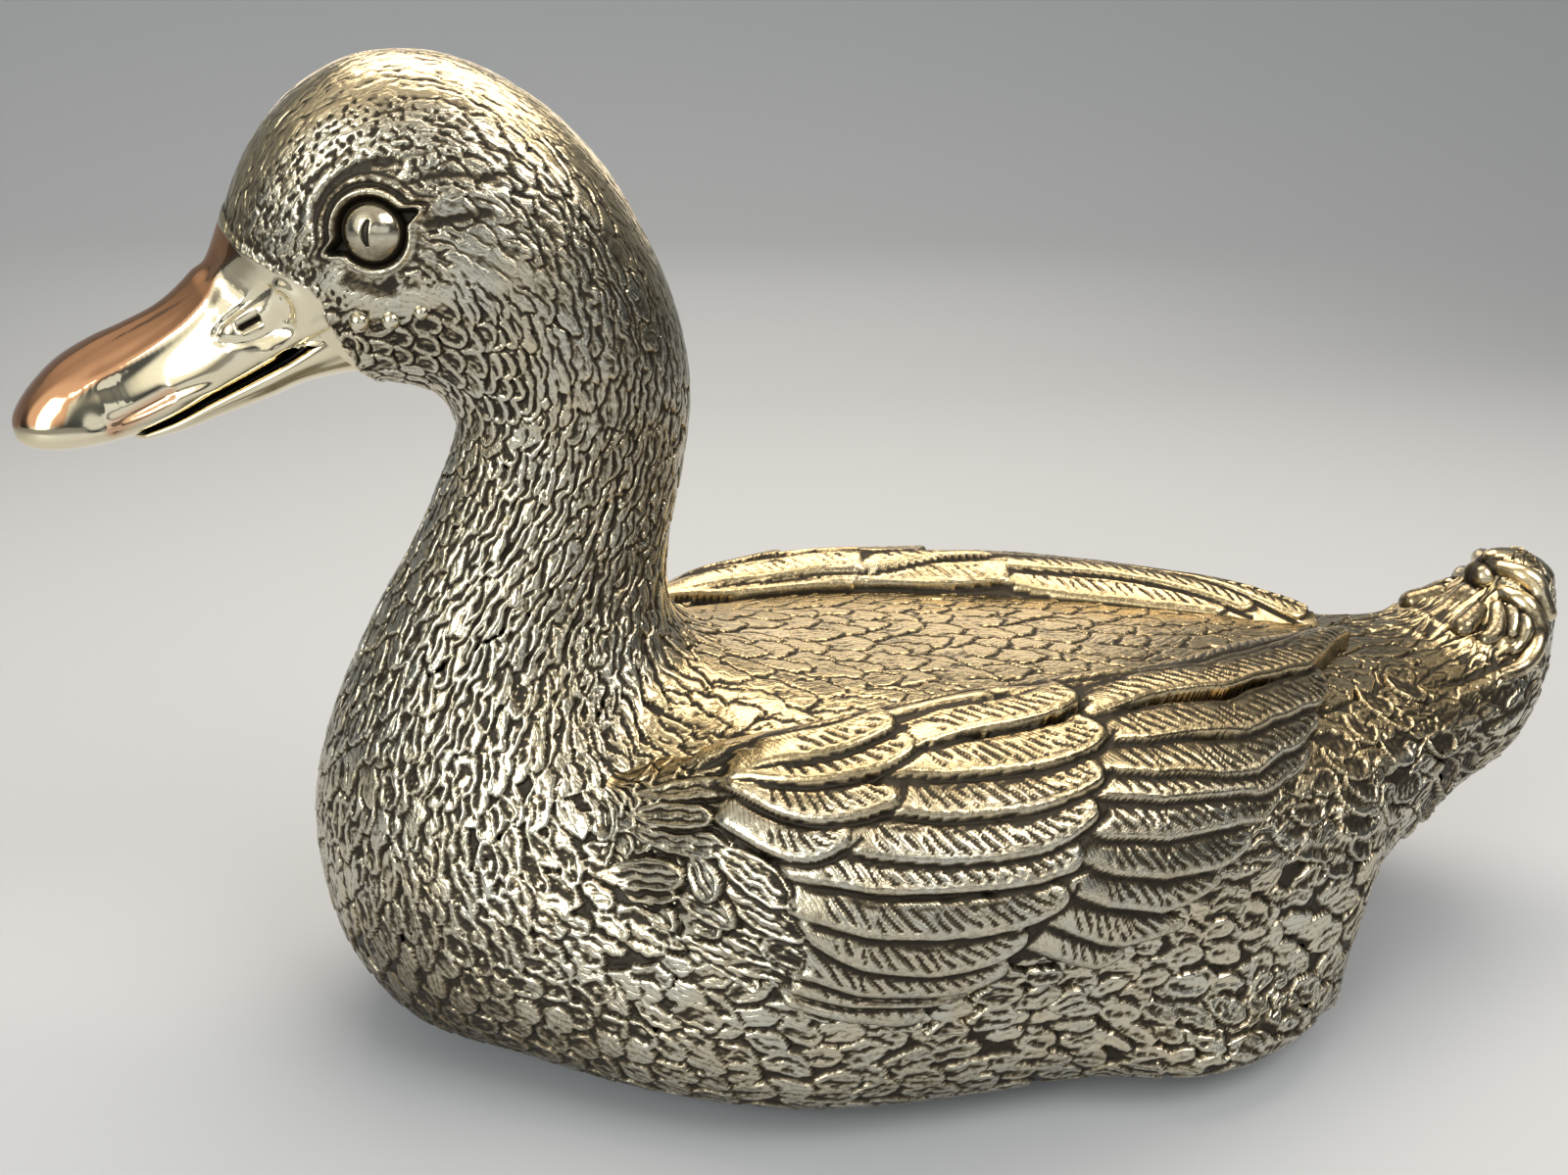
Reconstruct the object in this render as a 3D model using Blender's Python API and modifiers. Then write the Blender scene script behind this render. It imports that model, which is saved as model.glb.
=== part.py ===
# Silver duck sculpture, hollow cast in sections. Metres, +Z up.
# The bill points to -X, the tail to +X, and the flat underside rests at Z = 0.
# The origin is on the table, midway between the bill's tip and the tail's tip.
import math

import bmesh
import bpy
import numpy as np
from mathutils import Matrix, Vector

# Walls and clearances
WALL = 0.0020              # cast wall of the shells
GAP = 0.0003               # clearance between neighbouring castings
SEAM_GAP = 0.0003          # brazed seam between two shells
CUTTER_REACH = 0.0030      # how far a cutter passes what it cuts
SLEEVE_WALL = 0.0015       # lap sleeves inside the seams
SLEEVE_REACH = 0.0055      # how far a sleeve enters each shell

# Underside
FELT_THICKNESS = 0.0010
FELT_MARGIN = 0.0060       # felt beyond the base opening
FLOOR = FELT_THICKNESS + 0.0004   # height of the casting's underside
OPENING_LENGTH = 0.0960    # oval casting opening in the underside
OPENING_WIDTH = 0.0560
OPENING_X = -0.0062        # its centre
CORE_LAP = 0.0080          # ballast core beyond the opening, all round
CORE_HEIGHT = 0.0140

CORE_EDGE = 0.0015         # rounding of the core's edges

# Base screws, countersunk
SCREW_SHANK = 0.0015       # radius
SCREW_HEAD = 0.0030        # radius
SCREW_HEAD_DEPTH = 0.0012
SCREW_LENGTH = 0.0100
SCREW_SPACING_X = 0.0600
SCREW_SPACING_Y = 0.0300

# Wings
WING_RIDGE = 0.0105        # height of the wing's crest over the back
WING_EDGE = 0.0024         # thickness of its outer edge
WING_FOOT = 0.0012         # thickness where it meets the back
WING_ROOT = 0.0020         # how deep the uncut wing reaches before it is cut to seat
FEATHER_RISE = 0.0014      # rim of a wing feather over the root of the one below
INNER_FEATHER_RISE = 0.0008
INNER_FEATHERS = 3         # between the crest and the foot
FEATHER_CURVE = 0.35       # ribs by which a feather's middle passes its corners
PIN_RADIUS = 0.0015        # pins that carry the wings
PIN_BITE = 0.0030          # depth of a pin in its wing
PIN_TAIL = 0.0015          # length left inside the body

# Eyes
EYE_RADIUS = 0.0040
EYE_RISE = 0.0022          # dome over the head's surface
EYE_STEM = 0.0040          # depth of the stem in the head

# Bill
MANDIBLE_DEPTHS = (0.0070, 0.0052, 0.0040, 0.0030, 0.0022, 0.0014)
MOUTH_GAP = 0.00045        # mouth line between upper and lower bill
PLUG_RIBS = 1.33           # how far the plug reaches into the face, in ribs

# Tail curl
CURL_RADIUS = 0.0036
CURL_STRETCH = (1.75, 1.15, 1.0)      # lobe's length, width and height in radii
CURL_TILT = -35            # degrees
CURL_RISE = 0.35           # lobe's centre over the tail, in radii
CURL_SPREAD = 0.0062       # between the lobes of the curl
CURL_RIB = 0.9             # place of the middle lobe on the tail
CURL_SIDE_RIB = 1.2        # place of the lobes beside it

# Faces
HALF_RING = 16             # faces from the breast line to the back line
RING_SAMPLES = 361
TAIL_STEP = 0.5            # ribs between rings of faces
BODY_STEP = 0.5
NECK_STEP = 1.0
HEAD_STEP = 0.75
BILL_STEP = 0.5
WING_STEP = 0.25
WING_ROWS = 29             # points from a wing's outer edge to its foot
WING_SEAT_ROWS = 4         # every fourth of them on its hidden side

# Main sizes of the bird
BODY_LENGTH = 0.2265       # from the front of the neck's foot to the tail's root
BODY_MIDDLE_X = -0.00145   # middle of that length
BACK_HEIGHT = 0.0740       # back between the wings
NECK_FOOT_DEPTH = 0.0695   # front to back along X, where the neck leaves the body
BREAST_HEIGHT = 0.0170     # front of the neck's foot
NAPE_HEIGHT = 0.0920       # back of the neck's foot
THROAT_SETBACK = 0.0287    # throat behind the front of the neck's foot
THROAT_HEIGHT = 0.1225     # throat, where the neck turns into the head

TAIL_ROOT = (BODY_MIDDLE_X + BODY_LENGTH / 2, 0.0)
BREAST = (BODY_MIDDLE_X - BODY_LENGTH / 2, BREAST_HEIGHT)
NAPE = (BREAST[0] + NECK_FOOT_DEPTH, NAPE_HEIGHT)
THROAT = (BREAST[0] + THROAT_SETBACK, THROAT_HEIGHT)

# Each rib of the bird is a plane section: the point on the front or bottom
# line (x, z), the point on the back line (x, z), the half width, how far along
# from front to back it is widest, and how square it is below and above that.
# Tail ribs give x from the tail's root, which is at the back line's end.
TAIL_RIBS = (
    ((0.0475, 0.0815), (0.0430, 0.0860), 0.0040, 0.50, 2.0, 2.0),
    ((0.0510, 0.0755), (0.0370, 0.0845), 0.0090, 0.50, 2.0, 2.0),
    ((0.0500, 0.0660), (0.0315, 0.0780), 0.0135, 0.50, 2.0, 2.0),
    ((0.0460, 0.0520), (0.0250, 0.0735), 0.0190, 0.50, 2.0, 2.0),
    ((0.0355, 0.0390), (0.0180, 0.0700), 0.0250, 0.50, 2.0, 2.0),
    ((0.0180, 0.0310), (0.0095, 0.0685), 0.0310, 0.52, 2.0, 2.1),
    ((0.0010, 0.0240), (0.0000, 0.0685), 0.0380, 0.52, 2.1, 2.2),
)
# Body ribs give each x as a share of the way from the tail's root to the front
# or the back of the neck's foot, and the back line's height over BACK_HEIGHT.
BODY_RIBS = (
    ((0.0706, 0.0150), (0.0764, -0.0045), 0.0460, 0.50, 2.3, 2.3),
    ((0.1192, 0.0030), (0.1656, -0.0030), 0.0550, 0.44, 2.9, 2.4),
    ((0.2119, FLOOR), (0.2930, -0.0020), 0.0620, 0.41, 4.0, 2.6),
    ((0.3179, FLOOR), (0.4331, -0.0010), 0.0670, 0.41, 5.0, 2.8),
    ((0.4238, FLOOR), (0.5732, 0.0000), 0.0700, 0.41, 5.5, 2.9),
    ((0.5298, FLOOR), (0.7134, 0.0010), 0.0710, 0.41, 5.5, 2.9),
    ((0.6402, FLOOR), (0.8280, 0.0020), 0.0690, 0.41, 5.2, 2.6),
    ((0.7506, FLOOR), (0.9172, 0.0040), 0.0615, 0.41, 4.2, 2.3),
    ((0.8565, 0.0018), (0.9682, 0.0070), 0.0515, 0.41, 3.0, 2.1),
    ((0.9470, 0.0048), (0.9936, 0.0120), 0.0445, 0.42, 2.4, 2.0),
)
# Neck ribs run from the neck's foot to the head: share of the way up and
# forward bulge in front, the same behind, and the rest as above.
NECK_RIBS = (
    ((0.000, 0.0000), (0.000, 0.0000), 0.0385, 0.42, 2.1, 2.0),
    ((0.174, -0.0090), (0.143, -0.0003), 0.0330, 0.43, 2.0, 2.0),
    ((0.349, -0.0129), (0.286, -0.0001), 0.0280, 0.44, 2.0, 2.0),
    ((0.533, -0.0121), (0.429, 0.0006), 0.0240, 0.46, 2.0, 2.0),
    ((0.718, -0.0078), (0.595, 0.0012), 0.0210, 0.48, 2.0, 2.0),
    ((0.872, -0.0027), (0.786, 0.0012), 0.0195, 0.50, 2.0, 2.0),
)
# Head ribs fan round the throat, and give x and z from there.
HEAD_RIBS = (
    ((-0.0032, -0.0080), (0.0463, 0.0115), 0.0195, 0.50, 2.0, 2.0),
    ((0.0000, 0.0000), (0.0443, 0.0225), 0.0205, 0.50, 2.0, 2.0),
    ((-0.0004, 0.0040), (0.0393, 0.0355), 0.0215, 0.50, 2.0, 2.0),
    ((-0.0017, 0.0065), (0.0308, 0.0500), 0.0222, 0.50, 2.0, 2.0),
    ((-0.0032, 0.0078), (0.0188, 0.0615), 0.0224, 0.50, 2.0, 2.05),
    ((-0.0049, 0.0086), (0.0038, 0.0685), 0.0220, 0.49, 2.0, 2.1),
    ((-0.0067, 0.0091), (-0.0112, 0.0685), 0.0210, 0.48, 2.0, 2.1),
    ((-0.0087, 0.0095), (-0.0237, 0.0620), 0.0190, 0.47, 2.0, 2.1),
    ((-0.0107, 0.0098), (-0.0327, 0.0515), 0.0160, 0.46, 2.0, 2.05),
    ((-0.0127, 0.0100), (-0.0382, 0.0400), 0.0125, 0.45, 2.0, 2.0),
)
TAIL_SEAM = len(TAIL_RIBS) - 1        # rib numbers, from the tail's tip
NECK_SEAM = len(TAIL_RIBS) + len(BODY_RIBS)
HEAD_SEAM = NECK_SEAM + len(NECK_RIBS)
FACE_END = HEAD_SEAM + len(HEAD_RIBS) - 1
TAIL_SOLID_RIB = 3.0       # the tail is solid from its tip to here
EYE_RIB = 29.2
EYE_SHARE = 0.50           # share of the way round from throat to crown

# Thigh and heel lobes: rib and height of the centre, reach (x, z), and push
# outwards
LOBES = (
    (9.17, 0.0070, (0.0270, 0.0120), 0.0105),
    (8.00, 0.0040, (0.0060, 0.0080), 0.0060),
)
LOBE_SIDE = 0.0450         # lobes are full at this distance from the middle

# The upper bill's ribs after its base, from the throat: mouth line (x, z),
# ridge (x, z), half width, widest share, squareness below and above
BILL_RIBS = (
    ((-0.0267, 0.0160), (-0.0412, 0.0345), 0.0116, 0.26, 3.0, 1.75),
    ((-0.0332, 0.0125), (-0.0457, 0.0295), 0.0111, 0.24, 3.0, 1.75),
    ((-0.0407, 0.0088), (-0.0507, 0.0255), 0.0108, 0.22, 3.0, 1.8),
    ((-0.0482, 0.0050), (-0.0567, 0.0225), 0.0110, 0.22, 3.0, 1.9),
    ((-0.0562, 0.0021), (-0.0627, 0.0199), 0.0118, 0.22, 2.8, 2.0),
    ((-0.0632, 0.0005), (-0.0682, 0.0167), 0.0127, 0.24, 2.6, 2.1),
    ((-0.0697, 0.0001), (-0.0727, 0.0125), 0.0120, 0.28, 2.4, 2.2),
    ((-0.0740, 0.0010), (-0.0757, 0.0085), 0.0088, 0.35, 2.2, 2.2),
    ((-0.0762, 0.0031), (-0.0768, 0.0059), 0.0032, 0.45, 2.0, 2.0),
)
# Where the bill meets the face: half width, widest share, squareness
BILL_BASE = (0.0121, 0.30, 3.0, 1.75)
BILL_BASE_RANGE = (0.37, 0.985)       # upper bill along the face's end plane
MANDIBLE_BASE_RANGE = (0.03, 0.33)    # lower bill along the same plane
MANDIBLE_WIDTHS = (0.0104, 0.0096, 0.0092, 0.0090, 0.0088, 0.0078)
MANDIBLE_FORM = (0.6, 2.2, 3.0)       # widest share, squareness

# Wing stations: rib number, and the shares of the way round from the belly
# line to the back line of the outer edge, the crest and the inner foot, and
# how much of the full crest height the wing has there
WING_SHARES = (
    (16.00, 0.632, 0.664, 0.694, 0.28),
    (15.50, 0.594, 0.684, 0.730, 0.45),
    (15.00, 0.572, 0.699, 0.746, 0.65),
    (14.20, 0.545, 0.722, 0.763, 0.88),
    (13.50, 0.517, 0.733, 0.774, 0.97),
    (12.80, 0.489, 0.746, 0.786, 1.00),
    (12.20, 0.480, 0.757, 0.795, 1.00),
    (11.50, 0.481, 0.769, 0.808, 1.00),
    (10.90, 0.489, 0.778, 0.822, 1.00),
    (10.40, 0.508, 0.788, 0.838, 1.00),
    (9.80, 0.556, 0.806, 0.862, 0.98),
    (9.40, 0.596, 0.822, 0.882, 0.94),
    (9.00, 0.662, 0.838, 0.902, 0.90),
    (8.50, 0.722, 0.852, 0.924, 0.82),
    (8.00, 0.768, 0.862, 0.943, 0.72),
    (7.40, 0.818, 0.882, 0.962, 0.58),
    (6.90, 0.856, 0.910, 0.975, 0.44),
    (6.50, 0.886, 0.935, 0.982, 0.30),
)
# Tiers of wing feathers, each over the one before: rib of the tips at the tier's
# lowest and highest feather, the shares these lie at, how many feathers, and how
# far the tier's roots lie under the wing's smooth form
FEATHER_TIERS = (
    ((11.2, 6.2), (0.490, 0.885), 10, 0.0019),
    ((11.9, 10.5), (0.475, 0.775), 8, 0.0011),
    ((13.6, 12.3), (0.615, 0.760), 4, 0.0004),
)
PIN_PLACES = ((13.8, 0.64), (11.4, 0.63), (9.6, 0.76))   # rib, share


def moved(rib, place):
    """A rib carried to a place (x, z)."""
    (fx, fz), (bx, bz), *rest = rib
    x, z = place
    return ((fx + x, fz + z), (bx + x, bz + z), *rest)


def between(start, end, share, bulge):
    return (start[0] + (end[0] - start[0]) * share + bulge,
            start[1] + (end[1] - start[1]) * share)


def bird_ribs():
    """All ribs from the tail's tip to the face, in the part's own frame."""
    tail = [moved(rib, TAIL_ROOT) for rib in TAIL_RIBS]
    head = [moved(rib, THROAT) for rib in HEAD_RIBS]
    body = []
    for (front, low), (back, high), *rest in BODY_RIBS:
        front_x = TAIL_ROOT[0] + (BREAST[0] - TAIL_ROOT[0]) * front
        back_x = TAIL_ROOT[0] + (NAPE[0] - TAIL_ROOT[0]) * back
        body.append(((front_x, low), (back_x, BACK_HEIGHT + high), *rest))
    neck = []
    for front, back, *rest in NECK_RIBS:
        neck.append((between(BREAST, head[0][0], *front),
                     between(NAPE, head[0][1], *back), *rest))
    return tuple(tail + body + neck + head)


BIRD_RIBS = bird_ribs()


def remove_scene_objects():
    for item in list(bpy.data.objects):
        bpy.data.objects.remove(item, do_unlink=True)


def make_collection(name):
    group = bpy.data.collections.new(name)
    bpy.context.scene.collection.children.link(group)
    return group


def metal(name, colour, roughness, metallic=1.0):
    material = bpy.data.materials.new(name)
    material.use_nodes = True
    shader = material.node_tree.nodes["Principled BSDF"]
    shader.inputs["Base Color"].default_value = (*colour, 1.0)
    shader.inputs["Roughness"].default_value = roughness
    shader.inputs["Metallic"].default_value = metallic
    return material


def rib_at(ribs, t):
    """Smooth values between ribs, by a spline through all of them."""
    table = np.array([(*front, *back, *rest) for front, back, *rest in ribs])
    last = len(table) - 1
    t = min(max(t, 0.0), last)
    i = min(int(t), last - 1)
    u = t - i
    a, b, c, d = (table[min(max(k, 0), last)] for k in (i - 1, i, i + 1, i + 2))
    cubic = 3 * b - 3 * c + d - a
    square = 2 * a - 5 * b + 4 * c - d
    return 0.5 * (2 * b + (c - a) * u + square * u ** 2 + cubic * u ** 3)


def lobes(x, y, z):
    """Push of the thigh and heel lobes at points on the skin."""
    push = np.zeros_like(y)
    side = np.clip(y / LOBE_SIDE, 0, 1) ** 2
    for rib, cz, (rx, rz), height in LOBES:
        cx = rib_at(BIRD_RIBS, rib)[0]
        fade = np.abs((x - cx) / rx) ** 3 + np.abs((z - cz) / rz) ** 2.2
        push += height * np.exp(-fade) * side
    return push


def section(ribs, t, shares):
    """Points of the +Y half of a section, at shares of its length from the
    front or bottom line to the back line."""
    fx, fz, bx, bz, width, widest, low, high = rib_at(ribs, t)
    turn = np.linspace(0, math.pi, RING_SAMPLES)
    cosine = np.cos(turn)
    power = 2 / np.where(cosine > 0, low, high)
    reach = np.abs(cosine) ** power
    along = np.where(cosine > 0, widest * (1 - reach), widest + (1 - widest) * reach)
    y = width * np.abs(np.sin(turn)) ** power
    x = fx + (bx - fx) * along
    z = fz + (bz - fz) * along
    points = np.stack([x, y + lobes(x, y, z), z], axis=1)
    steps = np.linalg.norm(np.diff(points, axis=0), axis=1)
    length = np.concatenate([[0], np.cumsum(steps)])
    length /= length[-1]
    return np.stack([np.interp(shares, length, points[:, k]) for k in range(3)], axis=1)


def skin(ribs, t, shares, lift):
    """Points at shares round a section, lifted off the surface along its
    normal; a negative lift goes into the body."""
    shares = np.asarray(shares, float)
    step = 0.02
    last = len(ribs) - 1
    points = section(ribs, t, shares)
    ahead = section(ribs, min(t + step, last), shares)
    behind = section(ribs, max(t - step, 0), shares)
    above = section(ribs, t, np.clip(shares + 0.01, 0, 1))
    below = section(ribs, t, np.clip(shares - 0.01, 0, 1))
    normal = np.cross(ahead - behind, above - below)
    on_middle = (shares < 1e-6) | (shares > 1 - 1e-6)
    normal[on_middle, 1] = 0
    normal /= np.linalg.norm(normal, axis=1, keepdims=True)
    lifted = points + normal * np.asarray(lift, float).reshape(-1, 1)
    lifted[on_middle, 1] = 0
    return lifted


def plane_normal(ribs, t):
    """Unit normal of a rib's plane, pointing from tail to head."""
    reach = 0.1
    fx, fz, bx, bz = rib_at(ribs, t)[:4]
    across = Vector((bx - fx, 0, bz - fz)).normalized()
    normal = Vector((0, 1, 0)).cross(across)
    ahead = rib_at(ribs, min(t + reach, len(ribs) - 1))[:4]
    behind = rib_at(ribs, max(t - reach, 0))[:4]
    travel = Vector((ahead[0] + ahead[2] - behind[0] - behind[2], 0,
                     ahead[1] + ahead[3] - behind[1] - behind[3]))
    return normal if normal.dot(travel) > 0 else -normal


def ring(ribs, t, depth=0.0, shift=0.0, count=HALF_RING):
    """A closed ring of points round the bird at rib t, set in by depth and
    moved by shift along the rib plane's normal."""
    shares = np.linspace(0, 1, count + 1)
    half = skin(ribs, t, shares, np.full(count + 1, -depth))
    half += shift * np.array(plane_normal(ribs, t))
    other = half[-2:0:-1] * np.array([1, -1, 1])
    return np.concatenate([half, other])


def stations(start, end, step):
    count = max(1, round(abs(end - start) / step))
    return [start + (end - start) * k / count for k in range(count + 1)]


def loft(rings, closed=False):
    """Vertices and faces of a tube through rings of equal count; its ends are
    filled, or joined when closed."""
    size = len(rings[0])
    verts = [tuple(point) for one in rings for point in one]
    faces = []
    spans = len(rings) if closed else len(rings) - 1
    for i in range(spans):
        j = (i + 1) % len(rings)
        for k in range(size):
            n = (k + 1) % size
            faces.append((i * size + k, i * size + n, j * size + n, j * size + k))
    if not closed:
        for first in (0, len(rings) - 1):
            centre = len(verts)
            verts.append(tuple(np.mean(rings[first], axis=0)))
            for k in range(size):
                n = (k + 1) % size
                faces.append((first * size + k, first * size + n, centre))
    return verts, faces


def add_object(name, verts, faces, material, group, smooth=True):
    """A mesh object whose faces are triangles that point outwards."""
    mesh = bpy.data.meshes.new(name)
    shape = bmesh.new()
    corners = [shape.verts.new(point) for point in verts]
    for face in faces:
        shape.faces.new([corners[k] for k in face])
    bmesh.ops.triangulate(shape, faces=shape.faces[:])
    bmesh.ops.recalc_face_normals(shape, faces=shape.faces[:])
    shape.to_mesh(mesh)
    shape.free()
    if smooth:
        mesh.shade_smooth()
        mesh.set_sharp_from_angle(angle=math.radians(40))
    item = bpy.data.objects.new(name, mesh)
    if material is not None:
        mesh.materials.append(material)
    group.objects.link(item)
    return item


def hide_cutter(item):
    item.hide_render = True
    item.display_type = "WIRE"
    return item


def cut(item, cutter, name="cut"):
    modifier = item.modifiers.new(name, "BOOLEAN")
    modifier.operation = "DIFFERENCE"
    modifier.solver = "EXACT"
    modifier.object = cutter
    return modifier


def shell(name, start, end, step, material, group):
    """A hollow casting between two ribs, open at both ends."""
    outer = []
    inner = []
    marks = stations(start, end, step)
    for t in marks:
        shift = 0.0
        if t == start and start != 0:
            shift = SEAM_GAP / 2
        if t == end and end != FACE_END:
            shift = -SEAM_GAP / 2
        outer.append(ring(BIRD_RIBS, t, 0, shift))
        inner.append(ring(BIRD_RIBS, t, WALL, shift))
    verts, faces = loft(outer + inner[::-1], closed=True)
    return add_object(name, verts, faces, material, group)


def solid_form(name, start, end, step, cutters):
    """The bird's outer form with a clearance all round, to cut what sits on it."""
    rings = [ring(BIRD_RIBS, t, -GAP) for t in stations(start, end, step)]
    return hide_cutter(add_object(name, *loft(rings), None, cutters))


def tail_shell(material, group):
    """The tail casting: hollow at its root, solid towards the tip."""
    outer = [ring(BIRD_RIBS, t) for t in stations(0, TAIL_SEAM, TAIL_STEP)]
    inner = [ring(BIRD_RIBS, t, WALL) for t in stations(TAIL_SOLID_RIB, TAIL_SEAM, TAIL_STEP)]
    offset = -SEAM_GAP / 2 * np.array(plane_normal(BIRD_RIBS, TAIL_SEAM))
    outer[-1] = outer[-1] + offset
    inner[-1] = inner[-1] + offset
    verts, faces = loft(outer + inner[::-1])
    return add_object("tail_shell", verts, faces, material, group)


def joint_sleeve(name, seam, step_before, step_after, material, group):
    """A ring inside a seam that laps both shells. Its outer faces run between
    the same stations as the shells' inner faces, so that they lie parallel."""
    walls = []
    for depth in (WALL + GAP, WALL + GAP + SLEEVE_WALL):
        middle = ring(BIRD_RIBS, seam, depth)
        rings = [middle]
        for step, place in ((-step_before, 0), (step_after, 1)):
            far = ring(BIRD_RIBS, seam + step, depth)
            spacing = np.linalg.norm(far - middle, axis=1).mean()
            end = middle + (far - middle) * min(SLEEVE_REACH / spacing, 1)
            rings.insert(0 if place == 0 else len(rings), end)
        walls.append(rings)
    verts, faces = loft(walls[0] + walls[1][::-1], closed=True)
    return add_object(name, verts, faces, material, group)


def wing_lift(across, crest, height):
    """Height of the wing over the body, across from outer edge to foot."""
    top = WING_FOOT + (WING_RIDGE - WING_FOOT) * height
    if across <= crest:
        edge = WING_FOOT + (WING_EDGE - WING_FOOT) * height
        rise = math.sin(0.5 * math.pi * across / crest) ** 1.1
        return edge + (top - edge) * rise
    fall = max(math.cos(0.5 * math.pi * (across - crest) / (1 - crest)), 0)
    return WING_FOOT + (top - WING_FOOT) * fall ** 1.2


def feather_relief(t, share, inner):
    """Height of the layered feathers against the wing's smooth form, at a rib
    and share; inner runs from the crest at 0 to the foot at 1."""
    relief = -FEATHER_TIERS[0][-1]
    for (low_tip, high_tip), (low, high), count, depth in FEATHER_TIERS:
        place = min(max((share - low) / (high - low), 0), 1) * count
        row = place - math.floor(place)
        tip = low_tip + (high_tip - low_tip) * place / count
        tip -= FEATHER_CURVE * math.sin(math.pi * row)
        if t < tip or share < low:
            continue
        if inner > 0:
            row = inner * INNER_FEATHERS - math.floor(inner * INNER_FEATHERS)
            relief = INNER_FEATHER_RISE * row - depth
        else:
            relief = FEATHER_RISE * (1 - row) - depth
    return relief


def wing_station(t):
    """Edge, crest and foot shares and crest height at any rib."""
    table = np.array(sorted(WING_SHARES))
    return [float(np.interp(t, table[:, 0], table[:, k])) for k in range(1, 5)]


def wing_verts(side):
    rings = []
    for t in stations(WING_SHARES[0][0], WING_SHARES[-1][0], WING_STEP):
        edge, crest, foot, height = wing_station(t)
        across = np.linspace(0, 1, WING_ROWS)
        shares = edge + (foot - edge) * across
        share_of_crest = (crest - edge) / (foot - edge)
        tops = []
        for a, share in zip(across, shares):
            inner = (a - share_of_crest) / (1 - share_of_crest)
            relief = feather_relief(t, share, inner) * height
            tops.append(max(wing_lift(a, share_of_crest, height) + relief, WING_FOOT))
        outer = skin(BIRD_RIBS, t, shares, tops)
        seat = shares[::WING_SEAT_ROWS]
        under = skin(BIRD_RIBS, t, seat, np.full(len(seat), -WING_ROOT))
        rings.append(np.concatenate([outer, under[::-1]]) * np.array([1, side, 1]))
    return loft(rings)


def skin_frame(t, share, side):
    """A point on the body and the outward direction there."""
    low = skin(BIRD_RIBS, t, [share], [0.0])[0] * np.array([1, side, 1])
    high = skin(BIRD_RIBS, t, [share], [0.01])[0] * np.array([1, side, 1])
    return Vector(low), Vector(high - low).normalized()


def cylinder(name, radius, start, end, group, material=None, segments=20):
    """A capped cylinder from one point to another."""
    shape = bmesh.new()
    length = (end - start).length
    bmesh.ops.create_cone(shape, cap_ends=True, segments=segments, radius1=radius,
                          radius2=radius, depth=length)
    turn = (end - start).to_track_quat("Z", "Y").to_matrix().to_4x4()
    shape.transform(Matrix.Translation((start + end) / 2) @ turn)
    mesh = bpy.data.meshes.new(name)
    shape.to_mesh(mesh)
    shape.free()
    mesh.shade_smooth()
    mesh.set_sharp_from_angle(angle=math.radians(40))
    if material is not None:
        mesh.materials.append(material)
    item = bpy.data.objects.new(name, mesh)
    group.objects.link(item)
    return item


def add_wing(label, side, body, seat_form, material, pin_material, parts, cutters):
    verts, faces = wing_verts(side)
    wing = add_object(label + "_wing", verts, faces, material, parts)
    cut(wing, seat_form)
    for number, (t, share) in enumerate(PIN_PLACES, 1):
        seat, outward = skin_frame(t, share, side)
        inner_end = seat - outward * (WALL + PIN_TAIL)
        outer_end = seat + outward * (GAP + PIN_BITE)
        name = f"{label}_wing_pin_{number}"
        cylinder(name, PIN_RADIUS, inner_end, outer_end, parts, pin_material, 12)
        hole = cylinder(name + "_hole", PIN_RADIUS + GAP, inner_end - outward * GAP,
                        outer_end + outward * GAP, cutters, None, 12)
        hide_cutter(hole)
        cut(wing, hole)
        cut(body, hole)


def add_eye(label, side, head, material, parts, cutters):
    """A domed eye on a stem, in a socket through the head's wall."""
    seat, outward = skin_frame(EYE_RIB, EYE_SHARE, side)
    dome = (EYE_RADIUS ** 2 + EYE_RISE ** 2) / (2 * EYE_RISE)   # radius of the dome
    profile = [(0.0, EYE_RISE)]
    for k in range(1, 7):
        angle = math.asin(EYE_RADIUS / dome) * k / 6
        profile.append((dome * math.sin(angle), EYE_RISE - dome * (1 - math.cos(angle))))
    profile.append((EYE_RADIUS, -WALL - EYE_STEM))
    profile.append((0.0, -WALL - EYE_STEM))
    eye = turned(label + "_eye", profile, 24, material, parts)
    eye.location = seat
    eye.rotation_euler = outward.to_track_quat("Z", "Y").to_euler()
    socket = cylinder(label + "_eye_socket", EYE_RADIUS + GAP,
                      seat - outward * (WALL + EYE_STEM + CUTTER_REACH),
                      seat + outward * (EYE_RISE + CUTTER_REACH), cutters, None, 24)
    cut(head, hide_cutter(socket))


def turned(name, profile, segments, material, group):
    """A solid of revolution about its own Z, from a profile (radius, height)
    that runs from the top of the axis down the outer side."""
    mesh = bpy.data.meshes.new(name)
    edges = [(k, k + 1) for k in range(len(profile) - 1)]
    mesh.from_pydata([(r, 0, z) for r, z in profile], edges, [])
    item = bpy.data.objects.new(name, mesh)
    group.objects.link(item)
    screw = item.modifiers.new("turn", "SCREW")
    screw.axis = "Z"
    screw.angle = 2 * math.pi
    screw.steps = segments
    screw.render_steps = segments
    screw.use_merge_vertices = True
    screw.merge_threshold = 0.00005
    screw.use_smooth_shade = True
    if material is not None:
        mesh.materials.append(material)
    return item


def face_plane(share, gap):
    """A point along the face's end plane, from throat to forehead, moved
    clear of it by gap towards the bill."""
    fx, fz, bx, bz = rib_at(BIRD_RIBS, FACE_END)[:4]
    clear = plane_normal(BIRD_RIBS, FACE_END) * gap
    return (fx + (bx - fx) * share + clear.x, fz + (bz - fz) * share + clear.z)


def bill_ribs():
    low, high = BILL_BASE_RANGE
    base = (face_plane(low, GAP), face_plane(high, GAP), *BILL_BASE)
    return (base, *(moved(rib, THROAT) for rib in BILL_RIBS))


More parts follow.
